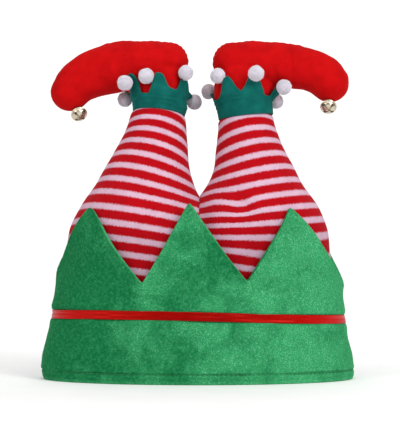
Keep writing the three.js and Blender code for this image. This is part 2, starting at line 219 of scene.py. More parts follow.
def connect(tree, node, inputs):
    """Gives a node its inputs: values, other nodes' outputs, or nodes, which stand for their first output."""
    for socket, value in inputs.items():
        if isinstance(value, bpy.types.Node):
            value = next(output for output in value.outputs if output.enabled)
        if isinstance(value, bpy.types.NodeSocket):
            tree.links.new(value, node.inputs[socket])
        else:
            node.inputs[socket].default_value = value


def add(tree, kind, inputs=None, **settings):
    """Adds one node: settings are its own properties, and inputs are connected."""
    made = tree.nodes.new("ShaderNode" + kind)
    for key, value in settings.items():
        setattr(made, key, value)
    connect(tree, made, inputs or {})
    return made


def new_material(name):
    """A material with one surface shader, its node tree, and the place on the piece."""
    material = bpy.data.materials.new(name)
    material.use_nodes = True
    tree = material.node_tree
    return material, tree, add(tree, "TexCoord").outputs["Object"]


def finished(material, inputs):
    """Connects the material's surface shader, says how many nodes it took, and gives the material back."""
    tree = material.node_tree
    connect(tree, tree.nodes["Principled BSDF"], inputs)
    print(f"{material.name}: {len(tree.nodes)} nodes")
    return material


# %% Floor
PAPER_MOTTLE = 40
FLOOR_FRONT, FLOOR_BACK = -3000, 1350
FLOOR_HALF_WIDTH = 3500
FLOOR_BEND = 600
WALL_TOP = 3200


def studio_paper():
    """Matte white background paper: a faint mottle, no gloss."""
    material, tree, place = new_material("white_studio_paper")
    mottle = add(tree, "TexNoise", {"Vector": place, "Scale": 1 / (PAPER_MOTTLE * MM)})
    tint = add(
        tree, "Mix", {"Factor": mottle, "A": linear("#F4F4F4"), "B": linear("#FAFAFA")}, data_type="RGBA"
    )
    return finished(material, {"Base Color": tint, "Roughness": 0.9})


def backdrop():
    """Floor, a quarter circle and a wall: one profile in Y and Z, carried along X."""
    bend = np.linspace(0, np.pi / 2, 40)
    x = np.array([FLOOR_HALF_WIDTH, -FLOOR_HALF_WIDTH])
    y = np.concatenate([[FLOOR_FRONT], FLOOR_BACK + FLOOR_BEND * np.sin(bend), [FLOOR_BACK + FLOOR_BEND]])
    z = np.concatenate([[0], FLOOR_BEND * (1 - np.cos(bend)), [WALL_TOP]])
    return points_of(x, y[:, None], z[:, None])


paper_points = backdrop()
paper_faces = grid_faces(paper_points, close_columns=False, reverse=True)
floor = mesh_object("floor", paper_points * MM, paper_faces, smooth=True)
floor.data.materials.append(studio_paper())

# %% Lamps
HAT_MIDDLE = (0, 0, 0.13)
LAMPS = {
    # place, size and power in metres and watts, and what the lamp faces
    "lamp_right": ((1.0, -1.3, 0.9), 0.9, 17, HAT_MIDDLE),
    "lamp_left": ((-1.2, -1.1, 0.7), 0.9, 6.5, HAT_MIDDLE),
    "lamp_above": ((0.0, -0.75, 1.5), 1.4, 8.5, HAT_MIDDLE),
    "lamp_backdrop": ((0.0, 0.7, 1.2), 1.2, 9, (0, 1.9, 0.15)),
}
ROOM_LIGHT = 0.48

for name, (place, size, watts, aim) in LAMPS.items():
    lamp = new_object(name, bpy.data.lights.new(name, "AREA"))
    lamp.data.size = size
    lamp.data.energy = watts
    lamp.location = place
    lamp.rotation_euler = (Vector(aim) - Vector(place)).to_track_quat("-Z", "Y").to_euler()
world = bpy.data.worlds.new("studio")
world.use_nodes = True
room = world.node_tree.nodes["Background"]
connect(world.node_tree, room, {"Color": linear("#FFFFFF"), "Strength": ROOM_LIGHT})
bpy.context.scene.world = world
bpy.context.scene.view_settings.view_transform = "Standard"
print(len(LAMPS), "soft lamps in a white room")

# %% [markdown]
# ## The stuffed form
# The hat is one soft form from rim to ankles: an oval cap that parts into two legs. A table gives its
# section at a few heights. Each leg is an ellipse whose middle stands off from the hat's middle by
# straight, so the hips are two half ellipses with a flat run between them. A smooth curve through the
# table gives every height between its rows; its slope at a row is the mean of the slopes on either side.

# %% The table of sections
TROUSERS = np.array([
    # height, straight, half width, half depth, lean to the back, sway to the right
    (0, 0, 123.8, 63.2, 0, 0),
    (15.5, 0, 124.2, 63.0, 0, 0),
    (35.5, 0, 120.0, 61.4, 0, 0),
    (49.5, 0, 117.0, 59.8, 0, 0),
    (63.5, 2, 114.2, 58.7, 0, 0),
    (78.5, 9, 104.6, 57.4, 0, 0),
    (93.5, 18, 91.8, 55.8, 0, 0.1),
    (107.5, 29, 78.4, 53.8, 0, 0.3),
    (122.5, 39, 66.0, 51.0, 0, 0.5),
    (135.5, 44.4, 55.4, 48.0, 0, 0.7),
    (147.5, 46.2, 46.7, 44.2, 0.5, 1.0),
    (159.5, 45.2, 39.2, 39.0, 1.5, 1.4),
    (173.5, 43.2, 33.1, 33.4, 3, 1.9),
    (191.5, 39.0, 27.4, 27.8, 5.5, 2.5),
    (207.5, 36.6, 23.8, 24.0, 7.8, 2.9),
    (221, 35.5, 22.1, 22.1, 9.5, 3.2),
])
ANKLE_HEIGHT = TROUSERS[-1, 0]


def smooth_table(table, places):
    """Cubic curves through a table's columns, read at places of its first column: one array a column."""
    at, values = table[:, 0], table[:, 1:]
    secant = np.diff(values, axis=0) / np.diff(at)[:, None]
    slope = np.vstack([secant[:1], (secant[1:] + secant[:-1]) / 2, secant[-1:]])
    places = np.asarray(places, float)
    i = np.clip(np.searchsorted(at, places, "right") - 1, 0, len(at) - 2)
    step = (at[i + 1] - at[i])[..., None]
    p = (places - at[i])[..., None] / step
    start = (1 + 2 * p) * (1 - p) ** 2 * values[i] + p * (1 - p) ** 2 * step * slope[i]
    end = p * p * (3 - 2 * p) * values[i + 1] + p * p * (p - 1) * step * slope[i + 1]
    return np.moveaxis(start + end, -1, 0)


print(len(TROUSERS), "sections from the rim to the ankles at", ANKLE_HEIGHT, "mm")

# %% [markdown]
# The shorts' points are spaced by the tape measure: by shares of the way round. An ellipse has no simple
# formula for that, so the way round is measured once, at every millimetre of height, and kept as a map
# from (height, share) to a place and to the direction that points straight out of the cloth.

# %% A map of the hips
MAP_SHARES = 1024
MAP_HEIGHTS = np.arange(int(ANKLE_HEIGHT) + 1)
HALF_OUTLINE = 500


def hip_map():
    """Places round the hips at each height, evenly spaced along the outline from the middle of the front."""
    straight, wide, deep, lean, sway = (c[:, None] for c in smooth_table(TROUSERS, MAP_HEIGHTS))
    turn = np.linspace(-np.pi / 2, np.pi / 2, HALF_OUTLINE)
    right = straight + wide * np.cos(turn)
    y = deep * np.sin(turn)
    middle = np.zeros_like(deep)
    x = np.hstack([middle, right, -right[:, ::-1], middle])
    y = np.hstack([-deep, y, y[:, ::-1], -deep])
    way = np.cumsum(np.hypot(np.diff(x), np.diff(y)), axis=1)
    way = np.hstack([middle, way]) / way[:, -1:]
    share = np.arange(MAP_SHARES) / MAP_SHARES
    x, y = (np.stack([np.interp(share, w, row) for w, row in zip(way, rows)]) for rows in (x, y))
    along = np.stack([np.roll(c, -2, 1) - np.roll(c, 2, 1) for c in (x, y)], -1)
    out = np.stack([along[..., 1], -along[..., 0]], -1)
    out /= np.linalg.norm(out, axis=-1, keepdims=True)
    return np.concatenate([np.stack([x + sway, y + lean], -1), out], -1)


HIPS = hip_map()


def on_hips(share, height, offset):
    """The point at a share of the way round and a height, moved straight out by offset.

    It is read between the four nearest places of the map, by their nearness."""
    share, height, offset = np.broadcast_arrays(share, height, offset)
    u = (share % 1) * MAP_SHARES
    v = np.clip(height, 0, ANKLE_HEIGHT - 1e-6)
    i, j = v.astype(int), u.astype(int) % MAP_SHARES
    fv, fu = (v - i)[..., None], (u - np.floor(u))[..., None]
    i2, j2 = np.minimum(i + 1, len(HIPS) - 1), (j + 1) % MAP_SHARES
    low = HIPS[i, j] * (1 - fu) + HIPS[i, j2] * fu
    high = HIPS[i2, j] * (1 - fu) + HIPS[i2, j2] * fu
    found = low * (1 - fv) + high * fv
    out = found[..., 2:] / np.linalg.norm(found[..., 2:], axis=-1, keepdims=True)
    flat = found[..., :2] + out * offset[..., None]
    return np.concatenate([flat, height[..., None]], -1)


print("hip map of heights, shares and values:", HIPS.shape)

# %% [markdown]
# ## Green velvet
# Velvet is cut pile: millions of fibre ends that lean one way. Where the pile is stroked the other way it
# turns lighter or darker, so it shows clouds some 30 mm across with finer strokes in them. Single tufts
# catch the light, and they are painted in as light flecks: painted glints, stronger where the painted light
# is. Light and shade are painted into the colour as well: cloth that faces left is painted darker and cloth
# that faces right lighter, until it turns quite away at the far right, where it is painted darker again, and
# along the foot of the hem the colour is painted lighter. Hair strands would show the pile's lean by
# themselves, but millions of them are too heavy, so that lean and this painted light are worked out in the
# material, which mixes a dark and a light green.

# %% Velvet
VELVET_CLOUD = 30
VELVET_STROKE = 2.2
# Real tufts are much finer: they are drawn coarser so that they show in the picture
VELVET_TUFT = 0.9


def green_velvet():
    """Polyester velvet, dyed green: a dull face whose lean and painted light mix two greens, painted glints
    as flecks, and sheen at its rims.

    Lean is a cloud plus how far the cloth faces right, which paints shade on cloth facing left and light on
    cloth facing right; painted light along the foot of the hem adds to it, painted shade where the cloth
    faces far right takes from it, and strokes do either."""
    material, tree, place = new_material("green_polyester_velvet")
    facing = add(tree, "SeparateXYZ", {0: add(tree, "NewGeometry").outputs["Normal"]}).outputs["X"]
    above_rim = add(tree, "SeparateXYZ", {0: place}).outputs["Z"]
    clouds = add(
        tree, "TexNoise",
        {"Vector": place, "Scale": 1 / (VELVET_CLOUD * MM), "Detail": 4.0, "Roughness": 0.55,
         "Distortion": 0.6},
    )
    strokes = add(tree, "TexNoise", {"Vector": place, "Scale": 1 / (VELVET_STROKE * MM), "Detail": 3.0})
    tufts = add(tree, "TexNoise", {"Vector": place, "Scale": 1 / (VELVET_TUFT * MM), "Detail": 1.0})
    patches = add(
        tree, "MapRange", {"Value": clouds, "From Min": 0.28, "From Max": 0.72},
        interpolation_type="SMOOTHSTEP",
    )
    # Painted shade and light: cloth facing left is darker and cloth facing right lighter; clouds add patches
    lean = add(tree, "Math", {0: facing, 1: 1.1, 2: patches}, operation="MULTIPLY_ADD")
    lean = add(
        tree, "MapRange",
        {"Value": lean, "From Min": -0.3, "From Max": 1.6, "To Min": 0.06, "To Max": 0.72},
        interpolation_type="SMOOTHSTEP",
    )
    # Painted light along the foot of the hem, lifting it out of the floor's shade
    painted_hem_light = add(
        tree, "MapRange",
        {"Value": above_rim, "From Min": 0.8 * MM, "From Max": 3.4 * MM, "To Min": 0.3, "To Max": 0.0},
    )
    # Painted shade where the cloth faces far to the right
    painted_far_right_shade = add(
        tree, "MapRange", {"Value": facing, "From Min": 0.3, "From Max": 0.9, "To Min": 0.0, "To Max": -0.24}
    )
    grain = add(
        tree, "MapRange",
        {"Value": strokes, "From Min": 0.3, "From Max": 0.7, "To Min": -0.14, "To Max": 0.14},
    )
    for shift in (painted_hem_light, painted_far_right_shade, grain):
        lean = add(tree, "Math", {0: lean, 1: shift}, operation="ADD")
    # Two greens mixed by the lean, which holds painted light and shade as well as the pile's patches
    pile_and_painted_light = add(
        tree, "Mix", {"Factor": lean, "A": linear("#086336"), "B": linear("#36A265")}, data_type="RGBA"
    )
    # Painted glints: light flecks where tufts catch the light, stronger where the painted light is
    painted_glints = add(
        tree, "MapRange", {"Value": tufts, "From Min": 0.48, "From Max": 0.78, "To Min": 0.0, "To Max": 0.8}
    )
    painted_glints = add(tree, "Math", {0: painted_glints, 1: lean}, operation="MULTIPLY")
    dyed_and_painted_light = add(tree, "Mix", {"Factor": painted_glints, "A": pile_and_painted_light, "B": linear("#8AD3A8")}, data_type="RGBA")
    relief = add(tree, "Bump", {"Height": tufts, "Strength": 0.35, "Distance": 0.5 * MM})
    return finished(material, {
        "Base Color": dyed_and_painted_light, "Normal": relief, "Roughness": 0.85, "Specular IOR Level": 0.08,
        "Sheen Weight": 0.25, "Sheen Roughness": 0.4, "Sheen Tint": linear("#4CCB82"),
    })


VELVET = green_velvet()

# %% [markdown]
# ## The shorts
# The cap is a sleeve of velvet, lined and turned: its lower edge is folded up inside and topstitched, its
# upper edge is cut into six points. It could be a flat strip wrapped round by a modifier, but then the
# points would stretch. Here one closed section goes up the outside, over the edge and down the inside, and
# it is carried round the hips. The height of the edge is different in each column, so the upper rows of the
# grid are spread between the start of the points and that edge.

# %% Zigzag edge
SHORTS_POINTS = np.array([
    # tip at, tip height, next notch at, its height, and how far the edge between them bows out below the tip;
    # places and bows are shares of the way round, to the right
    (-0.016, 142, 0.068, 81.5, 0),
    (0.143, 138.5, 0.243, 76.5, 0),
    (0.335, 139.5, 0.417, 80.5, 0),
    (0.5, 141.5, 0.583, 80.5, 0),
    (0.667, 139.5, 0.757, 86, 0),
    (0.82, 139, 0.922, 79.7, 0.0084),
])
EDGE_COLUMNS = 32
TIP_ROUNDING = 0.04
NOTCH_ROUNDING = 0.012
# The bow is greatest four fifths of the way up, and this makes it 1 there
BOW_PEAK = 5**5 / 4**4


def zigzag():
    """Columns evenly spread along each edge, and their heights, from notch to tip and rounded at both.

    A falling edge bows out by near to the fourth power less near to the fifth, near being 1 at the tip."""
    tip_at, tip, notch_at, notch, bow = SHORTS_POINTS.T
    corner_at = np.stack([np.roll(notch_at, 1) - (np.arange(len(tip)) == 0), tip_at], -1).ravel()
    corner_at = np.append(corner_at, notch_at[-1])
    k = np.arange(len(tip) * 2 * EDGE_COLUMNS) / EDGE_COLUMNS
    edge = k.astype(int)
    point, rising = edge // 2, edge % 2 == 0
    near = np.where(rising, k - edge, 1 - (k - edge))
    low = np.where(rising, np.roll(notch, 1)[point], notch[point])
    down = np.hypot(1 - near, TIP_ROUNDING) - TIP_ROUNDING
    up = np.hypot(near, NOTCH_ROUNDING) - NOTCH_ROUNDING
    rise = up / (up + down)
    bulge = np.where(rising, 0, bow[point]) * (near**4 - near**5) * BOW_PEAK
    return np.interp(k, np.arange(len(corner_at)), corner_at) + bulge, low + (tip[point] - low) * rise


edge_at, edge_height = zigzag()
print("zigzag columns", len(edge_at), "heights", edge_height.min().round(1), edge_height.max().round(1))

# %% [markdown]
# The velvet's face isn't a plain sleeve. The hem is puffed by its turn-up, a groove runs along the stitches,
# and the ribbon pinches the cloth, which swells on either side of it. The ribbon was sewn on by eye, so its
# height changes a little on the way round.

# %% Face of the velvet
VELVET_OUT, VELVET_IN = 2.9, 0.7
HEM_PUFF = 0.45
STITCH_HEIGHT = 7.8
STITCHES_SINK = 1.1
RIBBON_MIDDLE = 50.8
RIBBON_HIGH_LEFT = 2.1
RIBBON_HIGH_FRONT = 2.0
RIBBON_WIDTH = 7.0
RIBBON_PINCH = 1.25
RIBBON_SWELL = 0.35


def ribbon_middle(share):
    """Height of the ribbon's middle: one slow wave round the hat, a little high at the left and in front."""
    turn = 2 * np.pi * (share - 0.25)
    return RIBBON_MIDDLE - RIBBON_HIGH_LEFT * np.cos(turn) - RIBBON_HIGH_FRONT * np.sin(turn)


def outside_offset(height, share):
    """How far the velvet's face stands off: puffed hem, stitched groove, pinch, and swelling beside it."""
    hem = HEM_PUFF * soft_step(0, 4, height) - HEM_PUFF * soft_step(8, 14, height)
    stitched = -STITCHES_SINK * hump(height, STITCH_HEIGHT, 1.0)
    from_ribbon = np.abs(height - ribbon_middle(share))
    half = RIBBON_WIDTH / 2
    pinch = -RIBBON_PINCH * (1 - soft_step(half - 0.6, half + 1.0, from_ribbon))
    swell = RIBBON_SWELL * hump(from_ribbon, half + 3.5, 2.6)
    return VELVET_OUT + hem + stitched + pinch + swell


print("face of the hem at the front:", outside_offset(np.array([2.0, STITCH_HEIGHT]), 0.0).round(2))

# %% Sections of the shorts
HEM_IN = -1.5
HEM_CORNER = 1.7
HEM_TURN_UP = 8.4
POINTS_START = 64.0
TIP_STAND_OFF = 2.6
VELVET_SLACK = [(0.75, 60, 11), (0.35, 24, 12), (0.12, 9, 13)]
# The hem is stiff: slack sets in between these rows above its foot
SLACK_STARTS = (4, 16)
HEM_ROWS, FACE_ROWS, POINT_ROWS, ROLL_ROWS, INSIDE_ROWS = 6, 60, 45, 7, 16
# The left side is worn flatter: where, how wide, how deep, and the heights between which it sets in
WORN_AT, WORN_WIDTH, WORN_DEPTH = 0.77, 0.05, 1.3
WORN_FROM, WORN_TO = 62, 85


def shorts_strips():
    """Heights and offsets in strips, in their order round the closed section."""
    corner = np.linspace(0, np.pi / 2, HEM_ROWS)[:, None]
    # Even rows up the face, with closer ones where the ribbon and the stitches shape it
    face = np.unique(np.concatenate([
        np.linspace(HEM_CORNER + 0.6, POINTS_START, FACE_ROWS),
        RIBBON_MIDDLE + np.linspace(-10, 10, 41),
        STITCH_HEIGHT + np.linspace(-2, 2, 9),
    ]))[:, None]
    middle, half = (VELVET_OUT + VELVET_IN) / 2, (VELVET_OUT - VELVET_IN) / 2
    climb = np.linspace(0, 1, POINT_ROWS + 1)[1:, None]
    roll = np.linspace(0, np.pi, ROLL_ROWS + 2)[1:-1, None]
    inside = np.linspace(1, 0, INSIDE_ROWS)[:, None]
    point_height = edge_height - POINTS_START - half
    turned_up = np.array([
        # height and offset down the inside and over the hem's turn-up
        (50, VELVET_IN), (36, VELVET_IN), (22, VELVET_IN), (HEM_TURN_UP + 1.0, VELVET_IN),
        (HEM_TURN_UP, HEM_IN), (5.0, HEM_IN), (HEM_CORNER, HEM_IN),
    ])
    foot, inner_foot = corner[::-1], corner[1:-1]
    return [
        (HEM_CORNER * (1 - np.sin(foot)), VELVET_OUT - HEM_CORNER * (1 - np.cos(foot))),
        (face, outside_offset(face, edge_at)),
        (POINTS_START + point_height * climb, VELVET_OUT + TIP_STAND_OFF * climb**2),
        (edge_height - half + half * np.sin(roll), middle + TIP_STAND_OFF + half * np.cos(roll)),
        (POINTS_START + point_height * inside, VELVET_IN + TIP_STAND_OFF * inside**2),
        (turned_up[:, :1], turned_up[:, 1:]),
        (HEM_CORNER * (1 - np.sin(inner_foot)), HEM_IN + HEM_CORNER * (1 - np.cos(inner_foot))),
    ]


def shorts_grid():
    """The strips carried round the hips: slack lumps the first three, the outside, and wear sinks all."""
    strips = [np.broadcast_arrays(height, offset, edge_at)[:2] for height, offset in shorts_strips()]
    heights, offsets = (np.vstack(part) for part in zip(*strips))
    rows = np.arange(len(heights))[:, None]
    outer_rows = soft_step(*SLACK_STARTS, rows) * (rows < sum(len(height) for height, _ in strips[:3]))
    loose = slack(on_hips(edge_at, heights, offsets), VELVET_SLACK)
    worn = -WORN_DEPTH * hump(edge_at, WORN_AT, WORN_WIDTH) * soft_step(WORN_FROM, WORN_TO, heights)
    return on_hips(edge_at, heights, offsets + worn + loose * outer_rows)


shorts_points = shorts_grid()
make_piece(
    "shorts_velvet", shorts_points, grid_faces(shorts_points, close_rows=True),
    VELVET, "shorts",
)

# %% [markdown]
# ## Topstitches
# The hem's turn-up is held by a row of straight stitches. They could be painted on, but then they would be
# flat from close to. Each stitch is a short capsule of thread that dips into the velvet at both ends. One
# capsule is worked out and repeated along the hem in one array.

# %% Thread and stitches
# Real thread has about 1 turn a millimetre: its light and dark are drawn in spots of this size
THREAD_SPOT = 0.4
STITCH_LENGTH = 3.0
STITCH_PITCH = 3.7
STITCH_ROWS, STITCH_SIDES = 9, 6
THREAD_RADIUS = 0.32
THREAD_RISE, THREAD_DIP = 0.35, 0.7
RIM_MEAN_RADIUS = 97


def polyester_thread(name, dark, light):
    """Spun polyester thread: two close shades where its plies turn, with a little gloss."""
    material, tree, place = new_material(name)
    plies = add(tree, "TexNoise", {"Vector": place, "Scale": 1 / (THREAD_SPOT * MM)})
    shade = add(tree, "Mix", {"Factor": plies, "A": linear(dark), "B": linear(light)}, data_type="RGBA")
    return finished(material, {"Base Color": shade, "Roughness": 0.5})


def stitch_row():
    """Capsules along the hem: the thread's middle line arches out and its radius shrinks at both ends."""
    count = round(2 * np.pi * RIM_MEAN_RADIUS / STITCH_PITCH)
    along = np.linspace(-1, 1, STITCH_ROWS)[None, :, None]
    turn = around(STITCH_SIDES)
    share = (np.arange(count)[:, None, None] + 0.5 * STITCH_LENGTH / STITCH_PITCH * along) / count
    radius = THREAD_RADIUS * np.sqrt(1 - along**4)
    lift = outside_offset(STITCH_HEIGHT, share) + THREAD_RISE - THREAD_DIP * along**2
    return on_hips(share, STITCH_HEIGHT + radius * np.sin(turn), lift + radius * np.cos(turn))


stitch_points = stitch_row()
stitches = make_piece(
    "hem_stitches", stitch_points, repeated_faces(stitch_points, reverse=True),
    polyester_thread("green_polyester_thread", "#0C5A2E", "#1A7A44"),
)
close_poles(stitches)

# %% [markdown]
# ## Ribbon belt
# A narrow satin ribbon lies in the pinch of the velvet. Satin is woven with long floats, so it is smooth
# along its length and throws a stretched highlight. Its colour also holds painted light: painted shade where
# it faces the front and a painted highlight where it turns to either side. It never lies quite flat: its
# middle ripples and its edges lift a little. A curve with a flat bevel could make it, but it would not follow
# the hips, so a flat closed section with rounded edges is carried round and rippled.

# %% Satin ribbon
# Real floats are threads 0.1 mm wide: they are drawn as streaks this long, flattened to a fraction of it
FLOAT_LENGTH = 6
FLOAT_FLATNESS = 14.0
RIBBON_IN, RIBBON_OUT = 2.0, 2.95
RIBBON_LIFT = 0.25
RIBBON_COLUMNS = 420


def red_satin():
    """Polyester satin: streaks of long floats, painted shade where it faces the front and a painted highlight
    where it turns aside, and stretched gloss.
    """
    material, tree, place = new_material("red_satin_ribbon")
    flat = add(tree, "Mapping", {"Vector": place, "Scale": (1.0, 1.0, FLOAT_FLATNESS)})
    floats = add(tree, "TexNoise", {"Vector": flat, "Scale": 1 / (FLOAT_LENGTH * MM)})
    # Painted highlight where the ribbon turns aside and painted shade where it faces the front
    facing = add(tree, "SeparateXYZ", {0: add(tree, "NewGeometry").outputs["Normal"]})
    sideways = add(tree, "Math", {0: facing.outputs["X"]}, operation="ABSOLUTE")
    turned = add(
        tree, "MapRange",
        {"Value": sideways, "From Min": 0.1, "From Max": 0.7, "To Min": -0.35, "To Max": 0.4},
    )
    weight = add(tree, "Math", {0: floats, 1: turned}, operation="ADD")
    tone = add(
        tree, "Mix", {"Factor": weight, "A": linear("#780202"), "B": linear("#B80504")}, data_type="RGBA"
    )
    relief = add(tree, "Bump", {"Height": floats, "Strength": 0.25, "Distance": 0.15 * MM})
    return finished(material, {
        "Base Color": tone, "Normal": relief, "Roughness": 0.3, "Anisotropic": 0.5,
        "Specular IOR Level": 0.8, "Specular Tint": linear("#FF4434"),
    })


def ribbon_grid():
    """Rows round a flat section with round edges; ripples bow its middle and lift its edges along the way."""
    share = np.arange(RIBBON_COLUMNS) / RIBBON_COLUMNS
    half, thick = RIBBON_WIDTH / 2, (RIBBON_OUT - RIBBON_IN) / 2
    flat = half - thick
    face = np.linspace(-1, 1, 15)[1:-1]
    edge = np.linspace(-np.pi / 2, np.pi / 2, 6)
    front = np.full_like(face, thick)
    across = np.concatenate(
        [face * flat, flat + thick * np.cos(edge[::-1]), -face * flat, -flat - thick * np.cos(edge)]
    )[:, None]
    out = np.concatenate([front, thick * np.sin(edge[::-1]), -front, thick * np.sin(edge)])[:, None]
    middle = on_hips(share, RIBBON_MIDDLE, 0.0)
    bow = 0.22 * lumps(middle, size=34, seed=21)
    twist = 0.28 * lumps(middle, size=48, seed=22)
    fold = 0.16 * lumps(middle, size=40, seed=23)
    sag = 0.35 * lumps(middle, size=120, seed=24)
    v = across / half
    ripple = bow * (1 - v**2) + twist * v + fold * np.sin(2.2 * np.pi * v)
    offset = (RIBBON_IN + RIBBON_OUT) / 2 + out + RIBBON_LIFT + ripple
    return on_hips(share, ribbon_middle(share) + across + sag, offset)


ribbon_points = ribbon_grid()
make_piece(
    "ribbon_satin", ribbon_points, grid_faces(ribbon_points, close_rows=True),
    red_satin(), "ribbon_belt",
)

# %% [markdown]
# ## Lining
# Inside, a dark cotton dome closes the hollow for the head. It shows only from below. A half ball would be
# quick, but it wouldn't meet the oval rim: here the wall follows the hips and then closes over in a full
# dome, where each ring is the shoulder's ring, drawn in by a superellipse. Shallow gathers run up it.

# %% Cotton dome
# Real threads lie about 0.3 mm apart: they are drawn this far apart so that they show
COTTON_THREADS = 0.8
# Blender's wave texture has 20 / (2 pi) bands in a unit at scale 1
WAVE_BANDS = 20 / (2 * np.pi)
LINING_BOTTOM = 8.8
LINING_SHOULDER = 72.0
DOME_TOP = 118.0
DOME_FULLNESS = 2.3
LINING_WALL = 1.2
LINING_ROWS, LINING_COLUMNS = 26, 240
GATHERS, GATHER_DEPTH = 28, 0.5
# How far the wall lies inside the hips: at the rim, and from this height on
LAY_AT_RIM, LAY_ABOVE, LAY_HEIGHT = -1.2, -3.2, 60


def navy_cotton():
    """Plain-woven cotton: crossed threads give a small check of two near blacks and a dull, dry face."""
    material, tree, place = new_material("navy_cotton_lining")
    scale = 1 / (WAVE_BANDS * COTTON_THREADS * MM)
    wave = {"Vector": place, "Scale": scale, "Distortion": 0.6, "Detail": 1.0}
    warp, weft = (add(tree, "TexWave", wave, bands_direction=way).outputs["Fac"] for way in "XZ")
    weave = add(tree, "Math", {0: warp, 1: weft}, operation="MULTIPLY")
    tone = add(
        tree, "Mix", {"Factor": weave, "A": linear("#131319"), "B": linear("#212129")}, data_type="RGBA"
    )
    relief = add(tree, "Bump", {"Height": weave, "Strength": 0.4, "Distance": 0.2 * MM})
    return finished(material, {"Base Color": tone, "Normal": relief, "Roughness": 0.85})


def lining_face(inset):
    """Wall rows at even heights, then dome rows that rise as a quarter superellipse to the crown."""
    share = np.arange(LINING_COLUMNS) / LINING_COLUMNS
    wall_z = np.linspace(LINING_BOTTOM, LINING_SHOULDER, LINING_ROWS)[:, None]
    lay = np.interp(wall_z, [0, LAY_HEIGHT], [LAY_AT_RIM, LAY_ABOVE]) - inset
    wall = on_hips(share, wall_z, lay)
    turn = np.linspace(0, np.pi / 2, LINING_ROWS)[1:, None]
    size = np.cos(turn) ** (2 / DOME_FULLNESS)
    rise = np.sin(turn) ** (2 / DOME_FULLNESS)
    dome = wall[-1] * np.stack([size, size, 0 * size], -1)
    dome[..., 2] = LINING_SHOULDER + (DOME_TOP - inset - LINING_SHOULDER) * rise
    face = np.concatenate([wall, dome])
    up = np.linspace(0, 1, len(face))[:, None]
    gathers = GATHER_DEPTH * np.sin(2 * np.pi * GATHERS * share) * np.sin(np.pi * up)
    out = face[..., :2] / np.maximum(np.linalg.norm(face[..., :2], axis=-1, keepdims=True), 1)
    face[..., :2] -= out * np.abs(gathers)[..., None]
    return face


lining_points = np.concatenate([lining_face(LINING_WALL)[::-1], lining_face(0)])
lining = make_piece(
    "lining_cotton", lining_points, grid_faces(lining_points), navy_cotton(), "lining"
)
close_poles(lining)

# %% [markdown]
# ## Striped legs
# Each leg is a stuffed bag of striped fleece. A cloth simulation could blow up such a bag, but its outline
# would go its own way. Here the surface is the ellipse of the table at each height, and towards the ankle
# the ellipses tilt square to the leaning leg. Below the crotch the bag stops at the hat's middle, where the
# seam between the legs draws it in, and goes down over the lining.

# %% Shape of a leg
LEG_BOTTOM = 60.0
LEGS_PART_AT = 147.5
ANKLE_PITCH = np.radians(7)
ANKLE_ROLL = np.radians(7.5)
MIDDLE_GAP = 0.02
# The seam between the legs: the share of depth it takes, its width, and where it sets in and fades out
MIDDLE_SEAM_SHARE, MIDDLE_SEAM_WIDTH = 0.13, 7.0
MIDDLE_SEAM_START, MIDDLE_SEAM_END = (100, 128), (150, 160)


def leg_surface(side, turn, height, grow):
    """Ellipses carried up the table and swollen by grow; turn 0 is outwards and -90 degrees to the front."""
    straight, half_width, half_depth, lean, sway = smooth_table(TROUSERS, height)
    swing = soft_step(LEGS_PART_AT, ANKLE_HEIGHT, height)
    across = np.cos(turn) * (half_width + grow)
    deep = np.sin(turn) * (half_depth + grow)
    roll, pitch = ANKLE_ROLL * swing, -ANKLE_PITCH * swing
    rise = across * np.sin(roll)
    x = np.maximum(straight + across * np.cos(roll), MIDDLE_GAP)
    at_crotch = soft_step(*MIDDLE_SEAM_START, height) * (1 - soft_step(*MIDDLE_SEAM_END, height))
    deep = deep * (1 - MIDDLE_SEAM_SHARE * hump(x, MIDDLE_GAP, MIDDLE_SEAM_WIDTH) * at_crotch)
    y = deep * np.cos(pitch) - rise * np.sin(pitch)
    z = deep * np.sin(pitch) + rise * np.cos(pitch)
    return np.stack([side * x + sway, y + lean, z + height], -1)


ankle_x = leg_surface(1, np.array([0, np.pi]), np.full(2, ANKLE_HEIGHT), 0.0)[:, 0]
print("the right ankle goes from x", ankle_x.min().round(1), "to", ankle_x.max().round(1))

# %% [markdown]
# The stripes were straight on the flat cloth. Sewn into a cone they arch up in the middle of a panel, run
# down towards the inner leg, and meet those of the back panel in a shallow V at the side seam. Below the
# crotch the cloth is stretched, so they lie further apart. So the stripes can't be drawn by height alone:
# each point of the mesh carries the number of stripes below it, and the material reads that. The right leg
# also has a soft wrinkle beside the crotch, where the filling is slack: the cloth sinks in, and the stripes
# dip with it.

# %% Stripes and wrinkles
STRIPES = {
    # count and period at the base height, change of the period over one span, then for heights in spans from
    # the base: tilt (constant, linear, square), arch (constant, linear), and the height below which tilt and
    # arch stay the same; last, how much closer the stripes are counted on the stretched cloth
    "left": {
        "start": 0.18, "period": 10.96, "change": -1.44, "tilt": (0.197, 0.064, -0.29), "arch": (0.125, 0.13),
        "lowest": -0.12, "stretch": 0.88,
    },
    "right": {
        "start": 0.29, "period": 10.72, "change": 0.32, "tilt": (0.150, 0.154, -0.33), "arch": (0.046, 0.16),
        "lowest": -0.75, "stretch": 1.0,
    },
}
STRIPE_BASE = 150
STRIPE_SPAN = 70
CROTCH = 146
# A wrinkle's middle, its half sizes, how far the cloth sinks and how far the stripes dip
WRINKLES = {
    "left": [],
    "right": [
        {"x": 34.0, "z": 140.0, "wide": 11.0, "high": 9.5, "sink": 2.2, "dip": 3.6},
        {"x": 14.0, "z": 146.0, "wide": 8.0, "high": 8.0, "sink": -0.6, "dip": -1.6},
    ],
}


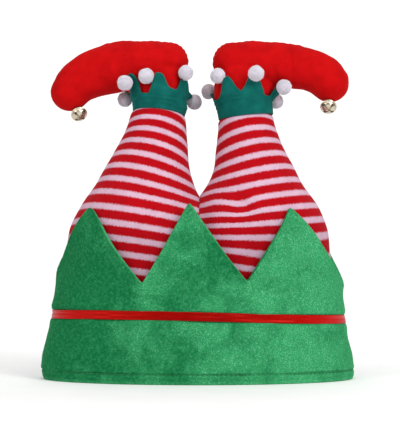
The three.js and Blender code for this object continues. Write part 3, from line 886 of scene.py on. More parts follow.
def stripe_count(name, turn, height, dip):
    """How many stripes lie below a point: its level, over a period that changes evenly with the level.

    Level is height, plus a tilt towards the inner leg and the panel's arch."""
    stripes = STRIPES[name]
    tilt, arch, period = stripes["tilt"], stripes["arch"], stripes["period"]
    change = stripes["change"] / STRIPE_SPAN
    inner = np.abs(turn) - np.pi / 2
    half_width = smooth_table(TROUSERS, height)[1]
    t = np.maximum((height - STRIPE_BASE) / STRIPE_SPAN, stripes["lowest"])
    slope = tilt[0] + tilt[1] * t + tilt[2] * t**2
    bow = arch[0] + arch[1] * t
    level = height + dip + slope * half_width * np.sin(inner) + bow * half_width * inner**2 / 2
    level = level + (1 - stripes["stretch"]) * np.maximum(CROTCH - level, 0)
    return stripes["start"] + np.log1p(change * (level - STRIPE_BASE) / period) / change


print("stripes a leg:", stripe_count("right", -np.pi / 2, np.array([LEG_BOTTOM, ANKLE_HEIGHT]), 0).round(1))

# %% [markdown]
# The filling lumps the bag, a tight collar draws its top in, and the seam of the shorts draws it in behind
# their points. The inner edge of the bag climbs over the lining's dome. Its rows stay level all the same,
# with the ones below that edge folded up onto it: sheared rows would leave dark lines in the shading.

# %% Grid of a leg
COLLAR_BAND = {
    # middle of the felt at the ankle, how it widens upwards, how far it is pushed out by the shoe on the
    # outer and inner side, and its lower edge: all round, outer, front
    "left": {"radius": 21.6, "widens": 0.2, "pushed": (2.6, -2.2), "drop": (3.2, 0.5, -0.3)},
    "right": {"radius": 22.4, "widens": 0.05, "pushed": (4.2, 1.8), "drop": (6.2, 0.5, 2.1)},
}
COLLAR_SQUEEZE = 2.4
COLLAR_TIGHT = (-3.5, 1.2)
# The left leg is stuffed a little fuller than the right one
FULLNESS = {"left": 0.7, "right": -0.9}
FULL_FROM = 172
LEG_LUMPS = [(0.5, 55, 31), (0.18, 20, 32)]
# Heights between which lumps set in above the shorts and fade out below the collar
LUMPS_START, LUMPS_END = (64, 90), (205, 216)
# How far the seam of the shorts draws the front in, and where that sets in and fades out
LEG_SINKS = 3.6
SINKS_START, SINKS_END = (64, 80), (95, 135)
LEG_TOP = ANKLE_HEIGHT - 0.3
LEG_ROWS, LEG_COLUMNS, CROWN_ROWS = 150, 230, 6
# Inside, every tenth row is enough
INSIDE_STEP = 10
BAG_WALL = 6.0
BAG_HALF_DEPTH = 55
DOME_HALF_DEPTH, DOME_RISE = 53.8, 47.5


def collar_drop(name, angle):
    """How far the collar's lower edge lies below the ankle at an angle from the front outwards."""
    level, outer, front = COLLAR_BAND[name]["drop"]
    return level + outer * np.sin(angle) + front * np.cos(angle)


def bag_bottom(turn):
    """Height of the bag's lower edge: level outside, and inside the superellipse of the lining's dome."""
    dome = 1 - np.clip(np.abs(np.sin(turn)) * BAG_HALF_DEPTH / DOME_HALF_DEPTH, 0, 1) ** DOME_FULLNESS
    over_dome = np.where(dome > 0, LINING_SHOULDER + DOME_RISE * dome ** (1 / DOME_FULLNESS), LEG_BOTTOM)
    return np.where(np.abs(turn) > np.pi / 2, over_dome, LEG_BOTTOM)


def leg_swelling(name, turn, height, rest):
    """How far the cloth swells and how far the stripes dip: lumps and wrinkles, less seam and collar."""
    grow = slack(rest, LEG_LUMPS) + FULLNESS[name] * soft_step(CROTCH, FULL_FROM, height)
    dip = np.zeros_like(height)
    for fold in WRINKLES[name]:
        local = hump(rest[..., 0], fold["x"], fold["wide"]) * hump(rest[..., 2], fold["z"], fold["high"])
        local = local * (rest[..., 1] < 0)
        grow = grow - fold["sink"] * local
        dip = dip + fold["dip"] * local
    grow = grow * soft_step(*LUMPS_START, height) * (1 - soft_step(*LUMPS_END, height))
    front = np.maximum(-np.sin(turn), 0) ** 3
    grow = grow - LEG_SINKS * front * soft_step(*SINKS_START, height) * (1 - soft_step(*SINKS_END, height))
    under_collar = height - ANKLE_HEIGHT + collar_drop(name, turn + np.pi / 2)
    return grow - COLLAR_SQUEEZE * soft_step(*COLLAR_TIGHT, under_collar), dip


def leg_grid(name):
    """Rows from the inside of the bag, round its bottom edge, up the outside and over the closed ankle."""
    side = SIDES[name]
    turn = np.linspace(-np.pi, np.pi, LEG_COLUMNS + 1)[:-1]
    level = np.linspace(LEG_BOTTOM, LEG_TOP, LEG_ROWS)[:, None]
    height = np.maximum(level, bag_bottom(turn))
    turn = turn + 0 * height
    grow, dip = leg_swelling(name, turn, height, leg_surface(side, turn, height, 0.0))
    outside = leg_surface(side, turn, height, grow)
    inside = leg_surface(side, turn[::INSIDE_STEP], height[::INSIDE_STEP], -BAG_WALL)
    shrink = np.linspace(1, 0, CROWN_ROWS + 1)[1:, None, None]
    crown = outside[-1].mean(0) + (outside[-1] - outside[-1].mean(0)) * shrink
    ceiling = inside[-1].mean(0) + (inside[-1] - inside[-1].mean(0)) * shrink[::-1]
    points = np.concatenate([ceiling, inside[::-1], outside, crown])
    count = stripe_count(name, turn, height, dip)
    first = np.repeat(count[:1], len(ceiling) + len(inside), 0)
    return points, np.concatenate([first, count, np.repeat(count[-1:], len(crown), 0)])


print("rows and columns up the outside of a leg:", LEG_ROWS, LEG_COLUMNS)

# %% [markdown]
# Fleece has a short, matted pile, so a stripe's edge is ragged: fibres of one colour lie over the other.
# The material adds a little fine noise to the stripe count before it compares it with the stripe's width.
# Low in the notches, behind the velvet's points, the colour is darkened as painted shade.

# %% Striped fleece
# Real nap is finer: it is drawn coarser so that the ragged edges show
FLEECE_NAP = 1.3
FLEECE_SHADE = 7
PAINTED_NOTCH_SHADE_FROM, PAINTED_NOTCH_SHADE_TO = 104, 146


def striped_fleece():
    """Knitted polyester fleece in red and a faintly lilac white: ragged edges, a napped, dull face, and
    painted shade low in the notches.
    """
    material, tree, place = new_material("striped_polyester_fleece")
    count = add(tree, "Attribute", attribute_name="stripe_count").outputs["Fac"]
    nap = add(
        tree, "TexNoise",
        {"Vector": place, "Scale": 1 / (FLEECE_NAP * MM), "Detail": 3.0, "Roughness": 0.6},
    )
    shade = add(tree, "TexNoise", {"Vector": place, "Scale": 1 / (FLEECE_SHADE * MM), "Detail": 3.0})
    part = add(tree, "Math", {0: count, 1: 0.5}, operation="PINGPONG")
    part = add(tree, "Math", {0: nap, 1: 0.22, 2: part}, operation="MULTIPLY_ADD")
    is_red = add(
        tree, "MapRange", {"Value": part, "From Min": 0.235, "From Max": 0.375},
        interpolation_type="SMOOTHSTEP",
    )
    white = add(
        tree, "Mix", {"Factor": shade, "A": linear("#BC96AA"), "B": linear("#D2B2C3")}, data_type="RGBA"
    )
    red = add(
        tree, "Mix", {"Factor": shade, "A": linear("#98040E"), "B": linear("#B20A15")}, data_type="RGBA"
    )
    cloth = add(tree, "Mix", {"Factor": is_red, "A": white, "B": red}, data_type="RGBA")
    height = add(tree, "SeparateXYZ", {0: place}).outputs["Z"]
    # Painted shade: the colour darkens towards the bottom of the notches, behind the velvet's points
    painted_notch_shade = add(
        tree, "MapRange",
        {"Value": height, "From Min": PAINTED_NOTCH_SHADE_FROM * MM, "From Max": PAINTED_NOTCH_SHADE_TO * MM,
         "To Min": 0.83, "To Max": 1.0},
        interpolation_type="SMOOTHSTEP",
    )
    cloth = add(tree, "VectorMath", {0: cloth, "Scale": painted_notch_shade}, operation="SCALE")
    relief = add(tree, "Bump", {"Height": nap, "Strength": 0.5, "Distance": 0.6 * MM})
    return finished(material, {
        "Base Color": cloth, "Normal": relief, "Roughness": 0.95, "Specular IOR Level": 0.04,
        "Sheen Weight": 0.08, "Sheen Roughness": 0.5, "Sheen Tint": linear("#E8A0B0"),
    })


FLEECE = striped_fleece()
for name, side in SIDES.items():
    leg_points, counts = leg_grid(name)
    leg = make_piece(
        f"leg_{name}_fleece", leg_points, grid_faces(leg_points, reverse=side < 0),
        FLEECE, f"leg_{name}",
    )
    leg.data.attributes.new("stripe_count", "FLOAT", "POINT").data.foreach_set("value", counts.ravel())
    close_poles(leg)

# %% [markdown]
# ## Ankles
# Collar, shoe, pompoms and bell of each leg are worked out in the ankle's own frame, where X points outwards
# along the foot, -Y to the front and Z up the leg. One function tilts that frame and mirrors it for the left.
# Two empties could carry the pieces instead, but a finished piece has its place in its mesh.

# %% Ankle frame
ANKLE_STAND, _, _, ANKLE_LEAN, ANKLE_SWAY = TROUSERS[-1, 1:]


def from_ankle(name, points):
    """Points of the ankle's frame, mirrored for the left leg, tilted with the ankle and set on it."""
    side = SIDES[name]
    tilt = np.array(Euler((-ANKLE_PITCH, 0, 0)).to_matrix() @ Euler((0, -side * ANKLE_ROLL, 0)).to_matrix())
    place = np.array([side * ANKLE_STAND + ANKLE_SWAY, ANKLE_LEAN, ANKLE_HEIGHT])
    return (points * np.array([side, 1, 1])) @ tilt.T + place


print("ankles at x", *(from_ankle(name, np.zeros(3))[0].round(1) for name in SIDES))

# %% [markdown]
# ## Felt collars
# A jester collar is one strip of felt, 1.3 mm thick, cut into six points and sewn round the ankle, where the
# shoe pushes its band out a little. A flat strip with a bend modifier would turn all points alike, but here
# each has its own bend: along each column the felt goes straight up for the band and then follows an arc,
# out under the pompom. A table gives each point's place, band, length and bend, and how far its tip is
# pulled aside. A second one gives the notches, which were cut as anything from a V to a U.

# %% Collar shape
COLLAR_TIPS = {
    # angle from the front outwards, band, length, bend, how far the tip is pulled aside; degrees, millimetres
    "left": np.array([(-48, 13, 13.5, 8, 0), (7, 12, 13, 10, 0), (54, 8, 16.5, 55, 0),
                      (120, 5, 19, 94, 0), (180, 9, 14, 95, 0), (236, 6, 14, 80, 0)], float),
    "right": np.array([(-28, 11, 14, 12, 0), (20, 11, 14, 20, 0), (72, 0, 19, 82, -6),
                       (123, 6, 16, 98, 0), (180, 9, 14, 95, 0), (231, 10, 12, 60, 0)], float),
}
COLLAR_NOTCHES = {
    # after each tip: angle, height, and how round the notch is, from a V at 0 to a U at 1
    "left": np.array([(-28.5, 13.6, 0.8), (31, 7.6, 1.0), (88, 6, 0.5),
                      (150, 7, 0.5), (208, 9, 0.5), (276, 17, 0.5)]),
    "right": np.array([(-6, 10.8, 0.3), (53, 5.4, 1.0), (104, 1, 0.5),
                       (152, 6, 0.5), (205, 9, 0.5), (297, 8, 0.5)]),
}
FELT_HALF = 0.65
FELT_FOOT = 0.4
COLLAR_ROWS = 24
COLLAR_EDGE_COLUMNS = 18
# The band is pushed out at the sides, from one sine of the angle to the other, and over these heights
PUSHED_SIDES, PUSHED_HEIGHTS = (0.3, 0.8), (2, 11)
# A notch shaped like a U rises between these shares of the way to its tip
U_RISES = (0.28, 0.85)
FELT_SLACK, FELT_SLACK_SIZE = 0.35, 16
# Above the ankle the band is crushed into fine lines: their height, spacing, middle, reach, and wandering
CRUSH, CRUSH_SPACING, CRUSH_AT, CRUSH_REACH, CRUSH_WANDER = 0.36, 4.2, 5, 5, 25


def collar_strip(name, columns, along, offset):
    """Up the band, then round an arc that turns by bend over length; offset is across the felt."""
    angle, band, length, bend, aside = columns
    curl = bend / length
    past = np.maximum(along - band, 0)
    turn = past * curl
    reach = COLLAR_BAND[name]["radius"] + COLLAR_BAND[name]["widens"] * np.minimum(along, band)
    outer, inner = COLLAR_BAND[name]["pushed"]
    pushed = np.where(np.sin(angle) > 0, outer, inner) * soft_step(*PUSHED_SIDES, np.abs(np.sin(angle)))
    reach = reach + pushed * soft_step(*PUSHED_HEIGHTS, along)
    reach = reach + (1 - np.cos(turn)) / curl + np.cos(turn) * offset
    rise = np.minimum(along, band) + np.sin(turn) / curl - np.sin(turn) * offset
    angle = angle + aside * (past / length) ** 2
    return points_of(np.sin(angle) * reach, -np.cos(angle) * reach, rise)


def collar_columns(name):
    """Columns from notch to tip to notch: values shared out between tips, and the height of the edge."""
    tips, notches = COLLAR_TIPS[name], COLLAR_NOTCHES[name]
    k = np.arange(2 * COLLAR_EDGE_COLUMNS) / COLLAR_EDGE_COLUMNS - 1
    near = 1 - np.abs(k)
    before = (k < 0)[None, :, None]
    notch_before = np.roll(notches, 1, 0)
    notch_before[0, 0] -= 360
    notch = np.where(before, notch_before[:, None], notches[:, None])
    neighbour = np.where(before, np.roll(tips, 1, 0)[:, None], np.roll(tips, -1, 0)[:, None])
    share = (0.5 + near / 2)[None, :, None]
    band, length, bend, aside = np.moveaxis((neighbour + (tips[:, None] - neighbour) * share)[..., 1:], -1, 0)
    angle = notch[..., 0] + (tips[:, None, 0] - notch[..., 0]) * near
    climb = near + notch[..., 2] * (soft_step(*U_RISES, near) - near)
    top = notch[..., 1] + (tips[:, None, 1] + tips[:, None, 2] - notch[..., 1]) * climb
    columns = (np.radians(angle), band, length, np.radians(bend), np.radians(aside))
    return [c.ravel() for c in columns], top.ravel()


def collar_grid(name):
    """Rows up the outside, over the edge, down the inside and under the foot; felt is slack and crushed."""
    columns, top = collar_columns(name)
    drop = collar_drop(name, columns[0])
    along = -drop + (top + drop) * np.linspace(0, 1, COLLAR_ROWS)[:, None]
    edge = np.linspace(0, np.pi, 7)[1:-1, None]
    over, under = top + FELT_HALF * np.sin(edge), along[0] - FELT_FOOT * np.sin(edge)
    path = np.vstack([along, over, along[::-1], under])
    flat, rolled = np.ones_like(along), np.cos(edge) * np.ones_like(top)
    offset = FELT_HALF * np.vstack([flat, rolled, -flat, -rolled])
    rest = collar_strip(name, columns, path, 0.0)
    loose = FELT_SLACK * lumps(rest, FELT_SLACK_SIZE, seed=41) * soft_step(0, 5, path)
    lines = np.sin(2 * np.pi * path / CRUSH_SPACING + 2 * lumps(rest, CRUSH_WANDER, seed=42))
    crushed = CRUSH * lines * hump(path, CRUSH_AT, CRUSH_REACH)
    return collar_strip(name, columns, path, offset + loose + crushed)


print("collar points:", {name: len(tips) for name, tips in COLLAR_TIPS.items()})

# %% [markdown]
# Felt is fibres matted together. It has no weave and no gloss: close to, a fine cloudy fuzz, with a pale
# bloom where fibres stand up. Hair could make the fuzz, but it is shorter than a pixel, so noise and sheen
# do. The teal collars and the red shoes are the same stuff in two dyes.

# %% Felt
# Real felt fibres are finer: the fuzz is drawn this coarse so that it shows
FELT_FUZZ = 1.1
FELT_CLOUD = 11


def craft_felt(name, dark, light, bloom):
    """Pressed polyester felt: two sizes of noise for matted fibres, and sheen for the fuzz."""
    material, tree, place = new_material(name)
    fuzz = add(
        tree, "TexNoise",
        {"Vector": place, "Scale": 1 / (FELT_FUZZ * MM), "Detail": 4.0, "Roughness": 0.65, "Distortion": 1.2},
    )
    cloud = add(tree, "TexNoise", {"Vector": place, "Scale": 1 / (FELT_CLOUD * MM), "Detail": 3.0})
    mixed = add(tree, "Math", {0: fuzz, 1: 0.6, 2: cloud}, operation="MULTIPLY_ADD")
    share = add(tree, "MapRange", {"Value": mixed, "From Min": 0.55, "From Max": 1.05})
    tone = add(tree, "Mix", {"Factor": share, "A": linear(dark), "B": linear(light)}, data_type="RGBA")
    relief = add(tree, "Bump", {"Height": fuzz, "Strength": 0.35, "Distance": 0.35 * MM})
    return finished(material, {
        "Base Color": tone, "Normal": relief, "Roughness": 0.92, "Specular IOR Level": 0.06,
        "Sheen Weight": 0.12, "Sheen Roughness": 0.5, "Sheen Tint": linear(bloom),
    })


TEAL_FELT = craft_felt("teal_craft_felt", "#064E48", "#10635B", "#3FA094")
RED_FELT = craft_felt("red_craft_felt", "#A60508", "#BE0A0D", "#E04038")
for name, side in SIDES.items():
    collar_points = collar_grid(name)
    make_piece(
        f"collar_{name}_felt", from_ankle(name, collar_points),
        grid_faces(collar_points, close_rows=True, reverse=side < 0),
        TEAL_FELT, f"collar_{name}",
    )

# %% [markdown]
# ## Felt shoes
# A shoe is two felt panels sewn round their outline and stuffed. The foot is a round tube swept from heel to
# toe along a bent line, with a round cap at each end. The shaft is a second tube, which stands in the collar
# and swells sideways as it rises into the foot. A boolean would leave a sharp line where the two meet, so
# the closed forms are run together by a voxel remesh and smoothed, as a sculptor would.

# %% Shoe shape
FOOT = np.array([
    # out along the foot, up, radius; from heel to toe, in the ankle's frame
    (-3.4, 40.4, 17.4),
    (13.9, 36.6, 19.4),
    (34.2, 32.6, 19.9),
    (52.4, 26.4, 18.8),
    (65.2, 18.0, 17.6),
    (71.2, 9.4, 16.4),
])
FOOT_DEPTH_SHARE = 0.96
FOOT_ROWS, CAP_ROWS = 60, 11
CAP_ANGLE = 88
TOE = {
    # how far the toe drops and reaches, how far its bell sits back, how full the foot is, where the heel ends
    "left": {"drop": 4, "reach": 4, "bell_back": 0.55, "full": 1.3, "heel": 1.3},
    "right": {"drop": -4, "reach": 1.5, "bell_back": 0.2, "full": -1.1, "heel": -1.2},
}
SHAFT = np.array([
    # share of the height, share of the radius
    (0, 0.02), (0, 0.8), (0.03, 0.86), (0.1, 0.9), (0.2, 0.92), (0.3, 0.94),
    (0.4, 0.94), (0.6, 0.89), (0.9, 0.83), (1, 0.7), (1, 0.02),
])
SHAFT_RADIUS = 21.6
SHAFT_BOTTOM, SHAFT_HEIGHT = 0.4, 34.0
# How much wider the shaft gets on its outer and inner side, and between which shares of its height
SHAFT_SWELLS = {"left": (0.36, 0.0), "right": (0.28, 0.2)}
SWELLS_BETWEEN = (0.06, 0.36)
SHOE_COLUMNS = 72


def foot_line(name):
    """The foot's middle line as a table of share, out, up and radius; the toe bends with the square."""
    out, up, radius = FOOT.T
    far = np.clip((out - out[1]) / (out[-1] - out[1]), 0, None)
    bent_out = out + TOE[name]["reach"] * far
    bent_out[0] += TOE[name]["heel"]
    bent_up = up - TOE[name]["drop"] * far**2
    stuffed = radius + TOE[name]["full"] * np.sin(np.pi * np.clip(far, 0, 1)) ** 0.7
    return np.stack([np.linspace(0, 1, len(out)), bent_out, bent_up, stuffed], -1)


def foot_grid(name):
    """Circles square to the middle line; at both ends they shrink along a quarter circle into a round cap."""
    cap = np.radians(np.linspace(0, CAP_ANGLE, CAP_ROWS + 1))[1:]
    share = np.concatenate([np.zeros(CAP_ROWS), np.linspace(0, 1, FOOT_ROWS), np.ones(CAP_ROWS)])
    tuck = np.concatenate([-cap[::-1], np.zeros(FOOT_ROWS), cap])
    line = foot_line(name)
    out, up, radius = smooth_table(line, share)
    ahead = smooth_table(line, share + 0.01)[:2] - smooth_table(line, share - 0.01)[:2]
    ahead_out, ahead_up = ahead / np.hypot(*ahead)
    out, up = out + ahead_out * np.sin(tuck) * radius, up + ahead_up * np.sin(tuck) * radius
    size = (np.cos(tuck) * radius)[:, None]
    turn = around(SHOE_COLUMNS)
    rise = np.sin(turn) * size
    deep = np.cos(turn) * size * FOOT_DEPTH_SHARE
    return points_of(out[:, None] - ahead_up[:, None] * rise, deep, up[:, None] + ahead_out[:, None] * rise)


def shaft_grid(name):
    """The stuffed ankle: a tube of circles from the table that swells sideways as it rises into the foot."""
    turn = around(SHOE_COLUMNS)
    share, size = SHAFT[:, :1], SHAFT[:, 1:] * SHAFT_RADIUS
    outer, inner = SHAFT_SWELLS[name]
    swell = 1 + np.where(np.cos(turn) > 0, outer, inner) * soft_step(*SWELLS_BETWEEN, share)
    return points_of(np.cos(turn) * size * swell, np.sin(turn) * size, SHAFT_BOTTOM + share * SHAFT_HEIGHT)


print("toes reach out to", {name: foot_line(name)[-1, 1].round(1) for name in SIDES})

# %% Running tubes together
VOXEL = 1.1
SMOOTHING, SMOOTHING_ROUNDS = 0.5, 26


def capped_tubes(grids):
    """A flat-shaded object of several tubes, each closed at both ends by one many-sided face."""
    faces, start = [], 0
    for grid in grids:
        rows, columns = grid.shape[:2]
        bottom = list(range(columns))[::-1]
        top = list(range((rows - 1) * columns, rows * columns))
        faces += [[i + start for i in face] for face in grid_faces(grid).tolist() + [bottom, top]]
        start += rows * columns
    return mesh_object("tubes", np.concatenate([grid.reshape(-1, 3) for grid in grids]), faces, smooth=False)


def read(vertices, what):
    """The places or normals of all points of a mesh as one array."""
    found = np.empty(len(vertices) * 3)
    vertices.foreach_get(what, found)
    return found.reshape(-1, 3)


def with_modifiers(made):
    """The object's mesh after its modifiers, and its points."""
    mesh = bpy.data.meshes.new_from_object(made.evaluated_get(bpy.context.evaluated_depsgraph_get()))
    return mesh, read(mesh.vertices, "co")


def fuse(grids):
    """One skin round several closed tubes: a voxel remesh runs them together, smoothing rounds the joins."""
    tubes = capped_tubes(grids)
    remesh = tubes.modifiers.new("remesh", "REMESH")
    remesh.mode = "VOXEL"
    remesh.voxel_size = VOXEL
    soften = tubes.modifiers.new("soften", "SMOOTH")
    soften.factor = SMOOTHING
    soften.iterations = SMOOTHING_ROUNDS
    mesh, points = with_modifiers(tubes)
    bpy.data.objects.remove(tubes)
    faces = np.empty(len(mesh.polygons) * 4, int)
    mesh.loops.foreach_get("vertex_index", faces)
    return points, read(mesh.vertices, "normal"), faces.reshape(-1, 4)


print("voxels of", VOXEL, "mm, smoothed", SMOOTHING_ROUNDS, "times")

# %% [markdown]
# Then the fused surface is pushed in and out along its normals: a seam along the outline, small puckers
# beside it, lumps of filling, and soft creases where the filling gives. The creases are a short table:
# where along the foot each one lies, how it leans, and how long, wide and deep it is.

# %% Seams, puckers and creases
CREASES = {
    "left": [
        {"out": 20.0, "up": 24.0, "lean": 0.3, "long": 9.0, "width": 2.2, "deep": 0.7},
    ],
    "right": [
        {"out": 42.0, "up": 36.0, "lean": 0.05, "long": 15.0, "width": 1.6, "deep": 1.5},
        {"out": 27.5, "up": 24.0, "lean": -0.15, "long": 9.0, "width": 2.0, "deep": 1.0},
    ],
}
SEAM_DEPTH, SEAM_WIDTH = 0.75, 0.9
# Puckers: their height, spacing, slant, and how far from the seam they reach
PUCKER_HEIGHT, PUCKER_SPACING, PUCKER_SLANT, PUCKER_REACH = 0.3, 5.2, 0.8, 5.0
# Seam and puckers set in above the shaft, creases beside the seam, and nothing is pushed inside the collar
ABOVE_SHAFT, BESIDE_SEAM, ABOVE_COLLAR = (16, 24), (2, 8), (2, 8)
SHOE_LUMPS = [(0.3, 26, 51), (0.12, 9, 52)]


def shoe_mesh(name):
    """The fused shoe, pushed in along its seam, rippled beside it and creased where the table says."""
    points, normals, faces = fuse([foot_grid(name), shaft_grid(name)])
    out, deep, up = points.T
    on_foot = soft_step(*ABOVE_SHAFT, up)
    ripple = np.sin(2 * np.pi * (out + PUCKER_SLANT * up) / PUCKER_SPACING)
    push = -SEAM_DEPTH * hump(deep, 0, SEAM_WIDTH) * on_foot
    push = push + PUCKER_HEIGHT * ripple * hump(deep, 0, PUCKER_REACH) * on_foot
    push = push + slack(points, SHOE_LUMPS)
    for crease in CREASES[name]:
        along = up - crease["up"]
        across = out - crease["out"] - crease["lean"] * along
        local = hump(across, 0, crease["width"]) * hump(along, 0, crease["long"])
        push = push - crease["deep"] * local * soft_step(*BESIDE_SEAM, np.abs(deep))
    push = push * soft_step(*ABOVE_COLLAR, up)
    return from_ankle(name, points + normals * push[:, None]), faces


for name, side in SIDES.items():
    shoe_points, shoe_faces = shoe_mesh(name)
    shoe = make_piece(
        f"shoe_{name}_felt", shoe_points, shoe_faces[:, ::-1] if side < 0 else shoe_faces,
        RED_FELT, f"shoe_{name}",
    )

# %% [markdown]
# ## Pompoms
# A pompom is yarn, tied and clipped into a ball. A ball with a bumpy picture on it would keep a hard edge,
# so each pompom is a small core with some thousands of clipped fibres round it. A fibre is a thin closed
# spindle with three sides, rooted inside the core, that bends a little. A pompom's fibres are one array.

# %% Acrylic yarn
# Real locks of yarn are finer: their shades are drawn in spots of this size
YARN_LOCK = 1.6


def acrylic_yarn():
    """Brushed acrylic yarn, bluish white: two close whites in spots, hardly any gloss, and a faint bloom."""
    material, tree, place = new_material("white_acrylic_yarn")
    locks = add(tree, "TexNoise", {"Vector": place, "Scale": 1 / (YARN_LOCK * MM), "Detail": 2.0})
    tone = add(
        tree, "Mix", {"Factor": locks, "A": linear("#E4DFEA"), "B": linear("#FBF8FD")}, data_type="RGBA"
    )
    return finished(material, {
        "Base Color": tone, "Roughness": 0.95, "Specular IOR Level": 0.1, "Sheen Weight": 0.2,
    })


YARN = acrylic_yarn()

# %% Core and fibres
POMPOMS = 6
CORE_SHARE, ROOT_SHARE = 0.86, 0.81
CORE_ROWS, CORE_COLUMNS = 18, 28
FIBRES = 2600
# Real fibres are much thinner: this is as thin as still shows
FIBRE_WIDTH = 0.32
FIBRE_SIDES = 3
FIBRE_ROWS = np.array([
    # share of the way from root to tip, share of the full width
    (0.0, 0.0),
    (0.3, 1.0),
    (0.8, 0.8),
    (1.0, 0.0),
])
UNEVEN = 0.03
CLIP_LUMPS, CLIP_LUMP_SIZE = 0.035, 6


def turned(profile, columns):
    """A profile of radius and height, turned once round the Z axis."""
    turn = around(columns)
    return points_of(profile[:, :1] * np.cos(turn), profile[:, :1] * np.sin(turn), profile[:, 1:])


def unit(vectors):
    """Each vector at length 1."""
    return vectors / np.linalg.norm(vectors, axis=1, keepdims=True)


def fibre_ball(radius, seed):
    """Spindles on a golden-angle spread of roots: each rises out of the core and drifts aside as it goes."""
    random = np.random.default_rng(seed)
    k = np.arange(FIBRES) + 0.5
    z = 1 - 2 * k / FIBRES
    turn = k * np.pi * (3 - np.sqrt(5))
    root = np.stack([np.sqrt(1 - z * z) * np.cos(turn), np.sqrt(1 - z * z) * np.sin(turn), z], -1)
    root = unit(root + random.normal(scale=UNEVEN, size=root.shape))
    drift = unit(np.cross(root, random.normal(size=root.shape)))
    wide = np.cross(root, drift)
    clipped = 1 + CLIP_LUMPS * lumps(root * radius, CLIP_LUMP_SIZE, seed)
    clip = radius * (clipped + random.normal(scale=UNEVEN, size=FIBRES))[:, None, None]
    rise, girth = FIBRE_ROWS.T[:, None, :, None]
    start = ROOT_SHARE * radius
    line = root[:, None] * (start + (clip - start) * rise)
    line = line + drift[:, None] * (rise**2 * random.uniform(0.1, 0.9, FIBRES)[:, None, None])
    corner = around(FIBRE_SIDES)[:, None]
    section = np.cos(corner) * drift[:, None] + np.sin(corner) * wide[:, None]
    return line[:, :, None] + 0.5 * FIBRE_WIDTH * girth[..., None] * section[:, None]


tilt = np.linspace(-np.pi / 2, np.pi / 2, CORE_ROWS)
globe = turned(np.stack([np.cos(tilt), np.sin(tilt)], -1), CORE_COLUMNS)
for name, side in SIDES.items():
    for i in range(1, POMPOMS + 1):
        node = f"pompom_{name}_{i}"
        low, high = (np.array(corner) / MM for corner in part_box(node))
        radius = (high - low).mean() / 2
        core = CORE_SHARE * radius * globe
        fibres = fibre_ball(radius, seed=60 + i + 10 * side)
        pompom = make_piece(
            f"{node}_yarn", np.vstack([core.reshape(-1, 3), fibres.reshape(-1, 3)]) + (low + high) / 2,
            np.vstack([grid_faces(core), repeated_faces(fibres) + CORE_ROWS * CORE_COLUMNS]),
            YARN, node,
        )
        close_poles(pompom)

# %% [markdown]
# ## Jingle bells
# A jingle bell is pressed from two thin brass bowls, flatter than half balls and crimped at the middle, with
# two crossed slots that end in round holes, and a wire loop to sew it on by. The bowls are one profile
# turned round the axis; the slots are cut by a boolean, because a slot across a dome has no simple grid.

# %% Brass
BRASS_SMUDGE = 2.5


def plated_brass():
    """Stamped brass, plated pale gold: bright metal with smudges where its colour and its gloss wear."""
    material, tree, place = new_material("pale_plated_brass")
    wear = add(tree, "TexNoise", {"Vector": place, "Scale": 1 / (BRASS_SMUDGE * MM), "Detail": 4.0})
    tone = add(
        tree, "Mix", {"Factor": wear, "A": linear("#B7A88C"), "B": linear("#DCD3C0")}, data_type="RGBA"
    )
    smudge = add(
        tree, "MapRange", {"Value": wear, "From Min": 0.3, "From Max": 0.7, "To Min": 0.16, "To Max": 0.34}
    )
    return finished(material, {"Base Color": tone, "Roughness": smudge, "Metallic": 1.0})


BRASS = plated_brass()

# %% Shape of a bell
BELL_RADIUS = 6.1
BELL_HALF_HEIGHT = 4.1
BELL_CRIMP = 0.7
BELL_WALL = 0.6
BELL_SLOT = 1.2
BELL_HOLE = 1.1
BELL_HOLE_SHARE = 0.72
BELL_ROWS, BELL_COLUMNS = 61, 96
# The bowls stop just short of the axis, and the crimp is a few degrees wide
BELL_POLE, CRIMP_DEGREES = 89.5, 6
LOOP_RADIUS = 1.3
LOOP_WIRE = 0.45
LOOP_COLUMNS, LOOP_SIDES = 28, 12


def bell_shell():
    """Outer and inner bowls as turned half ellipses, the outer one with a crimped rim at the middle."""
    tilt = np.radians(np.linspace(-BELL_POLE, BELL_POLE, BELL_ROWS))
    crimp = BELL_CRIMP * hump(np.degrees(tilt), 0, CRIMP_DEGREES)
    outer = np.stack([(BELL_RADIUS + crimp) * np.cos(tilt), BELL_HALF_HEIGHT * np.sin(tilt)], -1)
    inner = np.stack([np.cos(tilt[::-1]), np.sin(tilt[::-1])], -1)
    inner = inner * np.array([BELL_RADIUS - BELL_WALL, BELL_HALF_HEIGHT - BELL_WALL])
    return [turned(outer, BELL_COLUMNS), turned(inner, BELL_COLUMNS)]


def slot_cutter(turn_by):
    """A slot that ends in two round holes, as a flat outline pushed down through the lower bowl."""
    meet = np.arcsin(BELL_SLOT / 2 / BELL_HOLE)
    arc = np.linspace(np.pi - meet, -np.pi + meet, 22)
    right = np.stack([BELL_HOLE_SHARE * BELL_RADIUS + BELL_HOLE * np.cos(arc), BELL_HOLE * np.sin(arc)], -1)
    outline = np.concatenate([right, -right])[::-1]
    x, y = np.array([[np.cos(turn_by), -np.sin(turn_by)], [np.sin(turn_by), np.cos(turn_by)]]) @ outline.T
    return points_of(x, y, BELL_RADIUS * np.array([[-1.5], [-0.05]]))


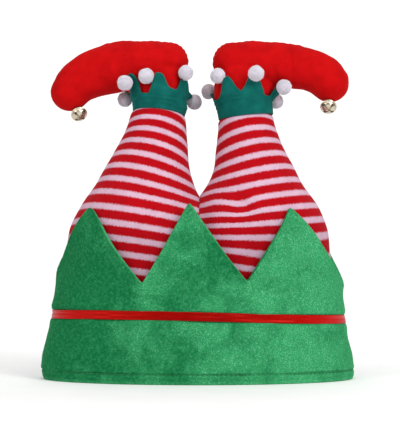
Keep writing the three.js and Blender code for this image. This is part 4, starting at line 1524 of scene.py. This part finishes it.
def loop_ring():
    """The sewing loop: a circle of wire standing on the upper bowl."""
    turn, side = around(LOOP_COLUMNS)[:, None], around(LOOP_SIDES)
    reach = LOOP_RADIUS + LOOP_WIRE * np.cos(side)
    middle = BELL_HALF_HEIGHT - LOOP_WIRE
    return points_of(reach * np.cos(turn), LOOP_WIRE * np.sin(side), middle + reach * np.sin(turn))


def bell_mesh():
    """The shell with both slots cut, and the loop: points and faces in the bell's own frame."""
    body = capped_tubes(bell_shell())
    cutters = [capped_tubes([slot_cutter(turn_by)]) for turn_by in (np.pi / 4, 3 * np.pi / 4)]
    for cutter in cutters:
        cut = body.modifiers.new("slot", "BOOLEAN")
        cut.operation = "DIFFERENCE"
        cut.solver = "EXACT"
        cut.use_self = False
        cut.object = cutter
    mesh, points = with_modifiers(body)
    faces = [list(face.vertices) for face in mesh.polygons]
    for used in [body, *cutters]:
        bpy.data.objects.remove(used)
    loop = loop_ring()
    faces += (grid_faces(loop, close_rows=True) + len(points)).tolist()
    return np.vstack([points, loop.reshape(-1, 3)]), faces


bell_points, bell_faces = bell_mesh()
print("a bell has", len(bell_points), "points")

# %% [markdown]
# Each bell hangs by its loop from the end of its toe, a little back from it, with its slots turned to the
# front. The loop is tucked into the felt, where it is sewn on.

# %% Bells on the toes
BELL_TUCK = 0.7
BELL_GAP = 0.3

for name, side in SIDES.items():
    _, toe_out, toe_up, toe_radius = foot_line(name)[-1]
    back = TOE[name]["bell_back"]
    hang = Vector((-back, -0.15, -0.97)).normalized()
    slots_face = Vector((-0.6 * back, -0.72, -0.66)).normalized()
    spin = np.array(Vector((0, 0, -1)).rotation_difference(slots_face).to_matrix())
    apart = toe_radius + BELL_GAP + LOOP_RADIUS + BELL_HALF_HEIGHT - BELL_TUCK
    middle = np.array([toe_out, 0, toe_up]) + np.array(hang) * apart
    make_piece(
        f"bell_{name}_brass", from_ankle(name, bell_points @ spin.T + middle),
        [face[::-1] for face in bell_faces] if side < 0 else bell_faces,
        BRASS, f"bell_{name}", smooth=False,
    )
